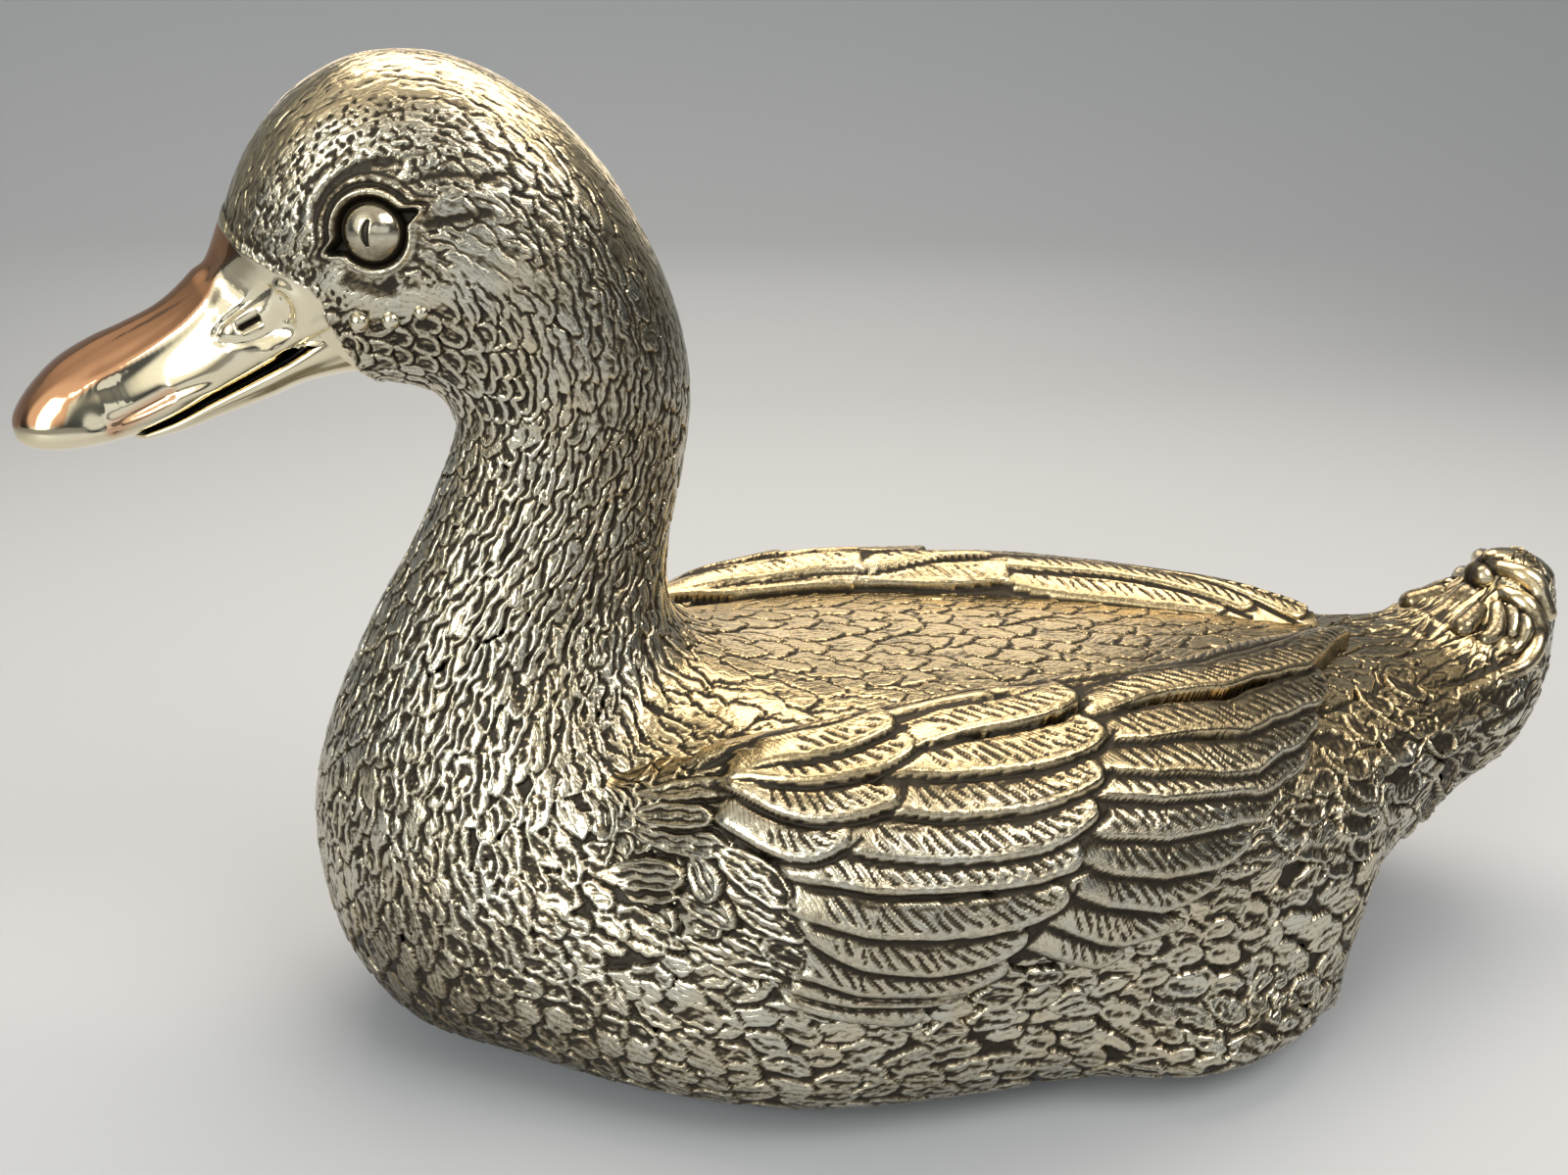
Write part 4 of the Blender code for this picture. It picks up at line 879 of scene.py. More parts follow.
def polishedSilver():
    # hand polished silver: a clear mirror with faint wiping streaks, and a painted copper reflection on
    # top that also stands for worn plating
    look = billFinish
    material, tree, shader = newMaterial("polishedSilver")
    place = node(tree, "ShaderNodeTexCoord").outputs["Object"]
    patina, upper = (node(tree, "ShaderNodeAttribute", {"attribute_name": word}).outputs["Fac"]
                     for word in ("patina", "upper"))
    stretched = node(tree, "ShaderNodeMapping", None, {
        "Vector": place, "Scale": look["stretch"]})
    streaks = node(tree, "ShaderNodeTexNoise", None, {
        "Vector": stretched, "Scale": 1 / (look["streakSize"] * mm), "Detail": 3.0}).outputs["Fac"]
    clouds = node(tree, "ShaderNodeTexNoise", None, {
        "Vector": place, "Scale": 1 / (look["cloudSize"] * mm), "Detail": 2.0}).outputs["Fac"]
    tone = node(tree, "ShaderNodeMapRange", None, {
        "Value": clouds, "From Min": 0.35, "From Max": 0.65})
    dark = node(tree, "ShaderNodeMapRange", eased, {
        "Value": patina, "From Min": 0.35, "From Max": 0.85})
    base = node(tree, "ShaderNodeMix", inColour, {
        0: tone, 6: toLinear(look["bright"]), 7: toLinear(look["warm"])}).outputs[2]
    # painted copper reflection over the bill's top and in the hollow over the lip, then the dark grooves
    for cover, code in ((upper, look["copperReflection"]), (dark, look["hollow"])):
        base = node(tree, "ShaderNodeMix", inColour, {0: cover, 6: base, 7: toLinear(code)}).outputs[2]
    rough = node(tree, "ShaderNodeMapRange", None, {
        "Value": streaks, "To Min": look["roughLeast"], "To Max": look["roughMost"]}).outputs[0]
    rough = node(tree, "ShaderNodeMath", timesPlus, {
        0: dark, 1: look["roughHollow"], 2: rough}).outputs[0]
    tree.links.new(base, shader.inputs["Base Color"])
    tree.links.new(rough, shader.inputs["Roughness"])
    shader.inputs["Metallic"].default_value = 1.0
    return material


def plainMetal(name, light, dark, rough, grain):
    # machined or cast metal inside the duck, with a fine uneven surface
    material, tree, shader = newMaterial(name)
    place = node(tree, "ShaderNodeTexCoord").outputs["Object"]
    noise = node(tree, "ShaderNodeTexNoise", None, {
        "Vector": place, "Scale": 1 / (grain * mm), "Detail": 4.0}).outputs["Fac"]
    colour = node(tree, "ShaderNodeMix", inColour, {
        0: noise, 6: toLinear(light), 7: toLinear(dark)}).outputs[2]
    roughness = node(tree, "ShaderNodeMapRange", None, {
        "Value": noise, "To Min": rough - 0.08, "To Max": rough + 0.08}).outputs[0]
    tree.links.new(colour, shader.inputs["Base Color"])
    tree.links.new(roughness, shader.inputs["Roughness"])
    shader.inputs["Metallic"].default_value = 1.0
    return material


feltFinish = {"dark": "#17171A", "light": "#34343A", "fibreSize": 0.6, "nap": 0.3}      # mm


def woolFelt():
    # pressed wool felt, black: short matted fibres, no shine
    look = feltFinish
    material, tree, shader = newMaterial("blackWoolFelt")
    place = node(tree, "ShaderNodeTexCoord").outputs["Object"]
    noise = node(tree, "ShaderNodeTexNoise", None, {
        "Vector": place, "Scale": 1 / (look["fibreSize"] * mm), "Detail": 5.0}).outputs["Fac"]
    colour = node(tree, "ShaderNodeMix", inColour, {
        0: noise, 6: toLinear(look["dark"]), 7: toLinear(look["light"])}).outputs[2]
    bump = node(tree, "ShaderNodeBump", None, {
        "Height": noise, "Strength": 0.6, "Distance": look["nap"] * mm})
    tree.links.new(colour, shader.inputs["Base Color"])
    tree.links.new(bump.outputs[0], shader.inputs["Normal"])
    shader.inputs["Roughness"].default_value = 0.95
    shader.inputs["Sheen Weight"].default_value = 0.3
    return material


silver = castSilver()
mirror = polishedSilver()


# a short feather of the breast, in mm; where it differs elsewhere, plan says so
featherForm = {
    "length": 9.6, "width": 4.6,
    "lap": 0.80, "apart": 1.05,      # spacing as shares of length and width
    "loose": 0.13,                   # how far it strays
    "rise": 0.44, "rim": 0.16, "crown": 0.14, "dish": 0.30, "dot": 0.0, "deep": 0.0,
    "groove": 0.26, "cut": 0.42,     # depth and width of the groove round it
    "streak": 0.14, "pitch": 1.9,    # depth and spacing of the strokes across it
    "round": 2.2, "leaf": 1.0,       # squareness of its tip, and how closed its root is
    "meander": 0.55,                 # unevenness of its edge
    "dished": 0.80, "shade": 0.42,   # share of feathers with a dish, and how dark it is
    "bed": 0.42, "bedStain": 0.27,   # depth and darkness between feathers
    "barbs": 1.0,
}


def plan(t, s):
    # what kind of feather grows where
    form = {key: value * np.ones_like(t) for key, value in featherForm.items()}

    def change(weight, **values):
        for key, value in values.items():
            form[key] = mix(form[key], value, weight)

    headward = smooth((t - 22.4) / 1.6)
    tailward = smooth((6.3 - t) / 1.0)
    # the neck: long narrow strips
    change(smooth((t - 18.0) / 2.0) * (1 - headward), length=10.5, width=3.7, lap=0.80, streak=0.05)
    # the front of the breast, low: rounds with a raised rim and a dot
    change(smooth((0.45 - s) / 0.07) * smooth((17.4 - t) / 1.2), length=7.4, width=5.4, loose=0.06,
           lap=0.80, dish=0.40, rim=0.24, rise=0.42, streak=0.0, dished=0.85, dot=0.34, meander=0.30,
           apart=1.06, leaf=0.55)
    # under the wing: flat oblong plates
    change(smooth((0.50 - s) / 0.05) * smooth((14.4 - t) / 0.8), length=9.8, width=4.8, loose=0.09,
           dish=0.20, rim=0.14, rise=0.50, streak=0.26, pitch=2.0, lap=0.86, round=2.6, crown=0.10,
           dished=0.9, shade=0.32, dot=0.0, meander=0.32, leaf=0.95, apart=1.14)
    # the back: low flat pointed scales in thin dark outlines
    back = smooth((s - 0.74) / 0.08) * (1 - smooth((t - 15.4) / 1.0))
    change(back, length=13.0, width=8.0, rise=0.34, rim=0.04, groove=0.34, cut=0.36, dish=0.05,
           streak=0.06, loose=0.12, round=1.6, crown=0.05, shade=0.05, lap=0.62, meander=0.7, dished=0.4,
           leaf=0.0, bed=0.0, bedStain=0.0, apart=0.92)
    change(smooth((s - 0.70) / 0.08) * smooth((t - 14.2) / 1.0) * (1 - headward), length=9.0,
           width=3.0, rise=0.32, dish=0.14, loose=0.16, dished=0.3, leaf=0.8, bed=0.25, bedStain=0.2)
    # the thigh
    change(smooth((t - 8.0) / 0.5) * smooth((11.6 - t) / 0.8) * smooth((0.57 - s) / 0.05), length=9.4,
           width=5.2, rise=0.76, rim=0.16, dish=0.20, loose=0.07, crown=0.16, lap=0.90, dished=0.9,
           streak=0.24, pitch=1.9, round=2.4, leaf=1.0, bed=0.45, apart=1.20, shade=0.30)
    # the tail: large crescents on its sides, long streaks on top
    change(tailward, length=9.6, width=6.4, rise=0.38, rim=0.20, dish=0.20, loose=0.14, dished=0.7,
           shade=0.16, lap=0.66, dot=0.0, leaf=0.3, groove=0.22, cut=0.40, bed=0.12, bedStain=0.12,
           apart=1.0, barbs=0.0)
    change(tailward * smooth((s - 0.62) / 0.1), length=14.0, width=2.4, rise=0.20, rim=0.0, dish=0.0,
           loose=0.2, groove=0.20, cut=0.30, meander=0.3, leaf=1.0, bed=0.15)
    change(smooth((2.8 - t) / 0.8), rise=0.25, rim=0.05, dish=0.10, bed=0.1, groove=0.2)
    # the head: strokes that run back from the eye, rounder on the cheek
    change(headward, length=9.0, width=3.3, rise=0.38, rim=0.06, dish=0.16, streak=0.0, loose=0.14,
           cut=0.32, groove=0.20, lap=0.80, crown=0.14, dished=0.35, meander=0.42, bed=0.36,
           bedStain=0.36, leaf=1.0, apart=1.10)
    change(headward * smooth((0.46 - s) / 0.08), length=6.2, width=4.9, rise=0.32, dish=0.30, rim=0.18,
           lap=0.74, loose=0.08, dished=0.9, groove=0.30, cut=0.32, meander=0.22, shade=0.80, leaf=0.25,
           bed=0.1, apart=0.96)
    change(headward * smooth((0.20 - s) / 0.08), length=6.0, width=3.4, rise=0.26, rim=0.08, leaf=0.8)
    face = smooth((t - 27.6) / 1.0) * smooth((s - 0.36) / 0.06)
    change(face, rise=0.05, groove=0.05, bed=0.04, bedStain=0.02, dish=0.03, shade=0.05)
    crownward = headward * smooth((s - 0.76) / 0.08)
    change(crownward, length=14.0, width=1.7, rise=0.05, rim=0.0, groove=0.06, dish=0.0, streak=0.0,
           cut=0.15, crown=0.03, dished=0.0, lap=0.7, meander=0.5, leaf=0.6, bed=0.03, bedStain=0.0,
           apart=1.0)
    return form


# feathers set one by one, seen in the photograph: root and tip in its pixels, width and
# rise in mm. First the raised ovals of the thigh
thighFeathers = [
    ((1225, 955), (1262, 943), 4.1, 0.8), ((1267, 935), (1295, 930), 5.8, 0.8),
    ((1267, 957), (1292, 949), 3.1, 0.8), ((1187, 978), (1227, 974), 5.1, 0.8),
    ((1234, 976), (1269, 976), 5.1, 0.8), ((1277, 987), (1299, 983), 4.7, 0.8),
    ((1159, 1004), (1193, 996), 3.9, 0.8), ((1191, 1005), (1234, 1006), 5.2, 0.8),
    ((1236, 1003), (1272, 1003), 3.7, 0.8), ((1275, 1014), (1299, 994), 3.5, 0.8),
    ((1113, 1016), (1153, 1003), 3.5, 0.8), ((1084, 1032), (1124, 1031), 3.8, 0.8),
    ((1121, 1032), (1163, 1037), 4.6, 0.8), ((1166, 1028), (1205, 1039), 4.3, 0.8),
    ((1200, 1025), (1243, 1044), 4.2, 0.8), ((1237, 1022), (1273, 1034), 5.4, 0.8),
    ((1275, 1024), (1297, 1029), 3.8, 0.8), ((1135, 1044), (1178, 1065), 3.7, 0.8),
    ((1182, 1054), (1210, 1059), 4.2, 0.8), ((1214, 1060), (1253, 1069), 3.5, 0.8),
    ((1255, 1063), (1288, 1062), 3.7, 0.8), ((1288, 1068), (1329, 1066), 5.0, 0.8),
    ((1044, 1067), (1077, 1062), 3.8, 0.8), ((1050, 1042), (1084, 1038), 3.0, 0.8),
    ((1015, 1053), (1050, 1036), 3.4, 0.8), ((1009, 1062), (1045, 1057), 3.1, 0.8),
    ((1038, 1079), (1069, 1076), 3.1, 0.8), ((1149, 1077), (1192, 1075), 3.4, 0.8),
    ((1188, 1080), (1219, 1077), 3.0, 0.8), ((1219, 1084), (1253, 1080), 2.8, 0.8),
    ((1307, 1050), (1326, 1042), 3.1, 0.8), ((1302, 1025), (1315, 1014), 3.1, 0.8),
    ((1080, 1051), (1119, 1049), 3.0, 0.8), ((1117, 1058), (1155, 1074), 3.0, 0.8),
    ((1255, 1079), (1284, 1078), 2.8, 0.8), ((1269, 920), (1295, 925), 3.5, 0.8),
]
# then the crescents that hang down the side of the tail, the lowest first
tailFeathers = [
    ((1370, 879), (1368, 898), 8.3, 0.8), ((1392, 857), (1389, 879), 7.7, 0.8),
    ((1338, 859), (1334, 880), 13.8, 1.0), ((1421, 847), (1418, 869), 8.3, 0.8),
    ((1319, 845), (1326, 864), 10.5, 0.8), ((1389, 833), (1387, 856), 11.8, 0.9),
    ((1445, 835), (1443, 857), 7.2, 0.7), ((1336, 818), (1342, 840), 9.6, 0.8),
    ((1426, 818), (1421, 842), 9.1, 0.9), ((1387, 808), (1386, 830), 12.1, 0.9),
    ((1460, 808), (1457, 833), 8.3, 0.8), ((1392, 791), (1392, 814), 9.4, 0.8),
    ((1435, 791), (1440, 818), 11.6, 1.0), ((1348, 789), (1363, 809), 8.3, 0.8),
    ((1474, 777), (1477, 806), 9.1, 1.0), ((1377, 765), (1378, 793), 12.1, 0.9),
    ((1496, 767), (1503, 784), 6.1, 0.7), ((1426, 753), (1428, 779), 9.4, 0.8),
    ((1363, 753), (1377, 774), 9.4, 0.6), ((1469, 745), (1477, 772), 10.5, 0.9),
    ((1394, 733), (1394, 755), 8.8, 0.6), ((1426, 724), (1431, 741), 9.4, 0.5),
    ((1404, 704), (1406, 724), 8.8, 0.5), ((1435, 690), (1435, 709), 9.9, 0.5),
]
ovalForm = {
    "rim": 0.34, "groove": 0.6, "cut": 0.5, "dish": 0.30, "streak": 0.14, "pitch": 1.7, "crown": 0.45,
    "round": 2.3, "meander": 0.25, "dot": 0.0, "shade": 0.34, "leaf": 0.9, "barbs": 0.0,
    "deep": 0.0,
}
crescentForm = {
    "rim": 0.55, "groove": 0.7, "cut": 0.6, "dish": 0.55, "streak": 0.0, "pitch": 2.0, "crown": 0.0,
    "round": 2.0, "meander": 0.35, "dot": 0.0, "shade": 0.0, "leaf": 0.0, "barbs": 0.0,
    "deep": 0.40,
}


def keepFree(skin, table, perMm):
    # no scattered feather grows where one is set by itself
    locate(skin, table[0][0])
    for root, tip, width, _ in table:
        first, reach = np.array(root, float), np.array(tip, float) - root
        margin = 0.10 * width * perMm
        low, high = np.minimum(root, tip) - margin, np.maximum(root, tip) + margin
        close = skin["seen"] & (skin["pixels"] > low).all(2) & (skin["pixels"] < high).all(2)
        rows, cols = np.nonzero(close)
        rel = skin["pixels"][rows, cols] - first
        share = np.clip(rel @ reach / (reach @ reach), 0, 1)
        near = np.linalg.norm(rel - share[:, None] * reach, axis=1) < margin
        skin["taken"][rows[near], cols[near]] = True
        skin["taken"][rows[near], (-cols[near]) % skin["p"].shape[1]] = True


def pressPlaced(skin, table, form, mirrored=True):
    for number, (root, tip, width, rise) in enumerate(table):
        first, last = (np.array(locate(skin, place)) for place in (root, tip))
        i, j = np.rint((first + last) / 2).astype(int)
        reach = skin["p"][tuple(last)] - skin["p"][tuple(first)]
        length = float(np.linalg.norm(reach)) * 1.08
        normal = skin["n"][i, j]
        back = unit(-skin["along"][i, j] + normal * (skin["along"][i, j] @ normal))
        across = np.cross(normal, back)
        angle = math.atan2(float(reach @ across), float(reach @ back))
        one = {"length": length, "width": width, "rise": rise, **form}
        wobble = 0.02 + 0.01 * (number % 5)
        pressFeather(skin, i, j, angle, one, wobble)
        if mirrored:
            pressFeather(skin, i, (-j) % skin["p"].shape[1], -angle, one, wobble)


bird = birdSkin()
keepFree(bird, thighFeathers, pixelsPerMm["thigh"])
keepFree(bird, tailFeathers, pixelsPerMm["tail"])
count = featherRows(bird, plan, seeds["feathers"])
pressPlaced(bird, tailFeathers, crescentForm)
pressPlaced(bird, thighFeathers, ovalForm)
print("short feathers:", count)
birdT = np.repeat(bird["t"][:, None], bird["p"].shape[1], 1)
birdS = bird["s"]
wear(bird, height=0.16, give=0.08, share=0.8 * (1 - smooth((7.0 - birdT) / 1.0)))
bird["h"] += 0.07 * fieldNoise(bird["p"], 6.0, seeds["swell"])
# painted shade low on the body, darker towards the underside
bird["stain"] += 0.36 * smooth((0.38 - birdS) / 0.16) * (1 - smooth((birdT - 16) / 2))
# painted shade on the sides of the neck; the polishing cloth hardly reached between the feathers of the
# tail
neckShade = smooth((birdT - 17.0) / 2.0) * smooth((birdS - 0.44) / 0.2) * (1 - smooth((birdS - 0.84) / 0.1))
bird["stain"] += 0.16 * neckShade * (1 - smooth((birdT - 25.0) / 2.0))
rump = smooth((6.6 - birdT) / 1.2) * smooth((birdT - 1.6) / 0.8)
bird["stain"] += 0.20 * rump * (bird["h"] < 0.75)
bird["h"] += 0.05 * fieldNoise(bird["p"], 1.6, seeds["rough"], 2) * (1 - smooth((birdS - 0.70) / 0.08))


# face: smooth polished skin behind the bill; its edge as ribs at shares round the section
faceLine = {
    "shares": [0.0, 0.13, 0.354, 0.442, 0.62, 0.80, 0.92, 1.0],
    "ribs": [31.9, 31.85, 31.30, 31.00, 31.60, 31.95, 31.85, 31.75],
    "from": 29,      # the rib from which a point can belong to the face
}


def dressFace():
    # takes the feathers off the face and rolls a fine rim along their ends
    edge = np.interp(birdS, faceLine["shares"], faceLine["ribs"])
    run = bird["rowStep"] / np.gradient(bird["t"])[:, None]
    past = (birdT - edge) * run
    side = np.sin(math.pi * np.clip(birdS, 0, 1))
    past = past + 0.35 * fieldNoise(bird["p"], 3.0, seeds["faceEdge"], 2)
    near = birdT > faceLine["from"]
    bare = smooth(past / 0.7 + 0.5) * near
    bird["h"] = bird["h"] * (1 - bare) + 0.30 * bare
    bird["h"] += 0.25 * np.exp(-((past + 0.5) / 0.6) ** 2) * near
    rim = 0.25 * np.exp(-((past - 0.1) / 0.3) ** 2) * side * near
    bird["stain"] = bird["stain"] * (1 - bare) + rim
    bird["polish"] = np.maximum(bird["polish"], bare)


eyeShape = {
    "pixel": (377, 238),      # its middle in the photograph
    "tilt": 24.0,             # degrees, of the line through its two corners
    "ring": 6.0,              # radius of the hollow round the ball
    "corner": 2.8,            # how far the corners reach beyond the ring
    "depth": 2.3,
    "lid": 0.80,              # height of the lids
}


def eyeFrame(side):
    # the eye's cell of the skin and its ways out, back and up
    i, j = locate(bird, eyeShape["pixel"])
    if side > 0:
        j = (-j) % bird["p"].shape[1]
    normal = bird["n"][i, j]
    back = np.array([1.0, 0.0, 0.0])
    back = unit(back - normal * (back @ normal))
    up = np.cross(normal, back) * -side
    return i, j, normal, back, up


def dressEye(side):
    # a dark hollow round the ball, with thick lids that meet in front and behind
    i, j, normal, back, up = eyeFrame(side)
    ix = windowOf(bird, i, j, 15.0)
    rel = bird["p"][ix] - bird["p"][i, j]
    x, y = rel @ back, rel @ up
    lean = math.radians(eyeShape["tilt"])
    along = x * math.cos(lean) + y * math.sin(lean)
    over = -x * math.sin(lean) + y * math.cos(lean)
    r = np.hypot(along, over)
    turned = np.arctan2(over, np.abs(along))
    outline = eyeShape["ring"] + eyeShape["corner"] * np.exp(-(turned / 0.15) ** 2)
    gap = r - outline      # distance outside the lids' edge
    upper = smooth(over / 3.0 + 0.5)
    height = bird["h"][ix]
    calm = smooth((3.0 - gap) / 1.8)
    height = height * (1 - calm) + 0.12 * calm
    height = height - eyeShape["depth"] * smooth((0.15 - gap) / 0.9)
    lid = eyeShape["lid"] * (0.75 + 0.45 * upper)
    height = height + lid * np.exp(-((gap - 0.70) / (0.42 + 0.16 * upper)) ** 2)
    fold = np.exp(-((gap - 1.95) / 0.42) ** 2) * (0.15 + 0.85 * upper)
    height = height - 0.40 * fold
    uneven = fieldNoise(bird["p"][ix], 1.7, seeds["eyeFolds"], 2)
    height = height + (0.24 + 0.10 * uneven) * np.exp(-((gap - 2.9) / 0.55) ** 2) * upper
    height = height - 0.16 * np.exp(-((gap - 3.9) / 0.40) ** 2) * upper
    bird["h"][ix] = height
    dark = 0.95 * smooth((0.35 - gap) / 0.6) + 0.75 * fold
    dark = dark + 0.45 * smooth((4.4 - gap) / 2.5) * (0.25 + 0.75 * upper)
    dark = dark - 0.55 * np.exp(-((gap - 0.85) / 0.40) ** 2)
    dark = dark + 0.45 * uneven * smooth((gap - 1.0) / 0.6) * smooth((4.6 - gap) / 1.2)
    bird["stain"][ix] = np.maximum(bird["stain"][ix] * (1 - calm), 0) + dark
    bird["calm"][ix] = np.maximum(bird["calm"][ix], smooth((6.0 - gap) / 2.0))
    return bird["p"][i, j], normal, back, up


def pressPits(skin, mask, seed, depth, size):
    # worn metal with dark pits left in it
    noise = fieldNoise(skin["p"], size, seed, 1, 14)
    noise = noise + 0.6 * fieldNoise(skin["p"], size * 2.6, seed + 1, 1, 8)
    pits = smooth((noise - 0.22) / 0.22) * mask
    skin["h"] -= depth * pits
    skin["stain"] += 0.60 * pits


# the waist between the tail's underside and the heel
waist = {"pixel": (1352, 1000), "across": 35.0, "depth": 4.8, "size": (9.0, 24.0, 8.0)}
for side in (-1, 1):
    spot = spotAt(waist["pixel"], -waist["across"]) * (1, -side, 1)
    off = (bird["p"] - spot) / waist["size"]
    bird["h"] -= waist["depth"] * np.exp(-(off ** 2).sum(2))

bird["calm"] = np.zeros_like(bird["h"])
eyes = [dressEye(-1), dressEye(1)]
drawLines(bird, faceLines, pixelsPerMm["head"])
around = smooth((birdT - 27.4) / 0.8) * smooth((0.80 - birdS) / 0.06) * smooth((birdS - 0.36) / 0.05)
pressPits(bird, around * (1 - bird["calm"]), seeds["facePits"], 0.16, 1.3)
dressFace()
drawLines(bird, billLines, pixelsPerMm["head"])
drawLines(bird, tailLines, pixelsPerMm["tail"])
# random clouds of tarnish, and painted shade on the flanks low down
low = smooth((0.46 - birdS) / 0.12) * smooth((18.5 - birdT) / 2.0) * smooth((birdT - 6.5) / 1.5)
clouds = smooth(fieldNoise(bird["p"], 26.0, seeds["clouds"], 1) + 0.2) * (1 - bird["polish"])
bird["stain"] += 0.20 * low + 0.10 * clouds
darken(bird)
# the skin's level lies a little inside the frame's solids, in mm
birdInset = np.interp(bird["t"], (5.5, 8.0, 21.0, 24.0), (-0.45, -0.55, -0.55, -0.45))[:, None]
shape(bird, birdInset)
# the crown is rubbed smooth down to the bill, and painted golden there as warm light from above
crown = smooth((birdS - 0.74) / 0.07) * smooth((birdT - 23.5) / 2.0)
bird["upper"] = np.maximum(bird["upper"], 0.9 * crown)
bird["polish"] = np.maximum(bird["polish"], 0.35 * crown)


def settle(piece, cad):
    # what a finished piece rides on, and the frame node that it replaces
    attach(piece, "root")
    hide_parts(cad)


def buildSkins():
    first = 0
    for name, cad, _, _, rows, pieceCount in birdParts:
        cuts = np.rint(np.linspace(first, first + rows, pieceCount + 1)).astype(int)
        for number in range(pieceCount):
            label = name + str(number + 1) if pieceCount > 1 else name
            piece = skinPiece(label, bird, (cuts[number], cuts[number + 1] + 1), silver)
            settle(piece, cad)
        first += rows


buildSkins()
print("skins built")

# wings: their grid, then the wall's height at crest, outer edge and inner foot, how deep
# the feathers' ground lies, and what reaches down into the body, in mm
wingDetail = {
    "rows": 470, "cols": 170, "ridge": 10.5, "edge": 2.4, "foot": 1.2, "sink": 1.9,
    "below": 1.8, "tuck": 3.5,
}


def wingSkin():
    ribs = np.linspace(6.42, 16.05, wingDetail["rows"])
    clipped = np.clip(ribs, wingTable[0, 0], wingTable[-1, 0])
    edge, crest, foot, tall = (np.interp(clipped, wingTable[:, 0], wingTable[:, k]) for k in range(1, 5))
    a = np.linspace(-0.07, 1.0, wingDetail["cols"])
    shares = edge[:, None] + (foot - edge)[:, None] * a[None, :]
    top = wingDetail["foot"] + (wingDetail["ridge"] - wingDetail["foot"]) * tall[:, None]
    peak = ((crest - edge) / (foot - edge))[:, None]
    rimHeight = wingDetail["foot"] + (wingDetail["edge"] - wingDetail["foot"]) * tall[:, None]
    rise = np.sin(0.5 * math.pi * np.clip(a / peak, 0, 1)) ** 1.1
    fall = np.clip(np.cos(0.5 * math.pi * np.clip((a - peak) / (1 - peak), 0, 1)), 0, 1) ** 1.2
    lift = np.where(a[None, :] <= peak, rimHeight + (top - rimHeight) * rise,
                    wingDetail["foot"] + (top - wingDetail["foot"]) * fall)
    base = np.array([sectionAt(birdTable, t, row) for t, row in zip(ribs, shares)])
    base[:, :, 1] *= -1
    under = makeSkin(base, False, -1.0)
    skin = makeSkin(base + under["n"] * lift[..., None], False, -1.0)
    skin.update({"t": ribs, "s": shares, "a": a, "under": under, "peak": peak, "edge": edge})
    return skin


wing = wingSkin()

# lower rims of the feathers, root to tip, read off the photograph in its pixels
primaries = [
    [(1063, 980), (1098, 991), (1130, 993), (1158, 977)],
    [(1079, 952), (1117, 966), (1149, 972), (1181, 964), (1212, 952), (1216, 936)],
    [(1107, 920), (1142, 931), (1177, 936), (1212, 929), (1248, 907), (1256, 901)],
    [(1120, 891), (1155, 899), (1203, 899), (1244, 891), (1276, 872), (1287, 854)],
    [(1126, 856), (1171, 859), (1219, 856), (1267, 843), (1302, 834), (1315, 811)],
    [(1134, 818), (1187, 818), (1235, 815), (1283, 808), (1324, 797), (1343, 773), (1346, 751)],
    [(1139, 789), (1187, 791), (1235, 791), (1299, 779), (1337, 760), (1354, 735)],
    [(1139, 756), (1187, 752), (1251, 743), (1315, 732), (1346, 722), (1366, 706)],
    [(1136, 724), (1181, 708), (1235, 700), (1299, 687), (1356, 673), (1385, 650)],
]
coverts = [
    [(824, 1037), (874, 1047), (909, 1051), (937, 1047), (951, 1037)],
    [(800, 1014), (845, 1026), (888, 1031), (951, 1031), (982, 1023), (998, 1017)],
    [(807, 998), (845, 1010), (891, 1021), (944, 1021), (986, 1016), (1021, 1002), (1037, 989)],
    [(828, 967), (860, 986), (898, 996), (951, 1000), (1003, 991), (1038, 975), (1056, 958)],
    [(824, 942), (867, 956), (909, 963), (961, 963), (1014, 956), (1056, 946), (1088, 928), (1097, 910)],
    [(824, 903), (867, 910), (916, 916), (968, 915), (1021, 910), (1074, 900), (1108, 886)],
    [(874, 874), (916, 881), (968, 884), (1021, 881), (1074, 868), (1109, 851), (1128, 832)],
    [(921, 832), (968, 837), (1021, 835), (1074, 825), (1119, 805), (1134, 788)],
    [(937, 795), (986, 792), (1038, 788), (1091, 779), (1126, 761), (1136, 746)],
    [(951, 761), (986, 749), (1038, 739), (1084, 728), (1108, 712)],
]
shortCoverts = [
    [(751, 854), (789, 875), (824, 881), (853, 874), (874, 858)],
    [(760, 816), (796, 835), (839, 842), (881, 837), (916, 821), (921, 805)],
    [(775, 800), (824, 802), (874, 795), (916, 781), (939, 763)],
    [(802, 782), (860, 770), (902, 753), (919, 742)],
]


def bladeRow(skin, rims, level, width, seed, **more):
    # a tier of long feathers, each a trace higher than the one below it
    dice = np.random.default_rng(seed)
    for number, rim in enumerate(rims):
        pressBlade(skin, rim, width * dice.uniform(0.95, 1.05), level + 0.04 * number,
                   phase=dice.uniform(0, 1), **more)


# rims of the long feathers on the far wing's inner slope, root to tip, in its pixels
innerPrimaries = [
    [(1030, 598), (1090, 607), (1150, 614), (1196, 617), (1252, 628)],
    [(1034, 577), (1090, 580), (1159, 588), (1220, 602), (1275, 621)],
    [(1030, 556), (1100, 559), (1182, 571), (1260, 596), (1331, 630)],
]
innerCoverts = [
    [(890, 597), (931, 597), (980, 597), (1028, 593)],
    [(886, 583), (930, 574), (975, 565), (1017, 562)],
    [(884, 560), (925, 551), (970, 546), (1012, 546)],
]
innerShorts = [
    [(684, 609), (750, 609), (820, 605), (876, 600)],
    [(720, 598), (780, 592), (830, 585), (879, 582)],
    [(690, 580), (750, 569), (820, 560), (881, 557)],
]


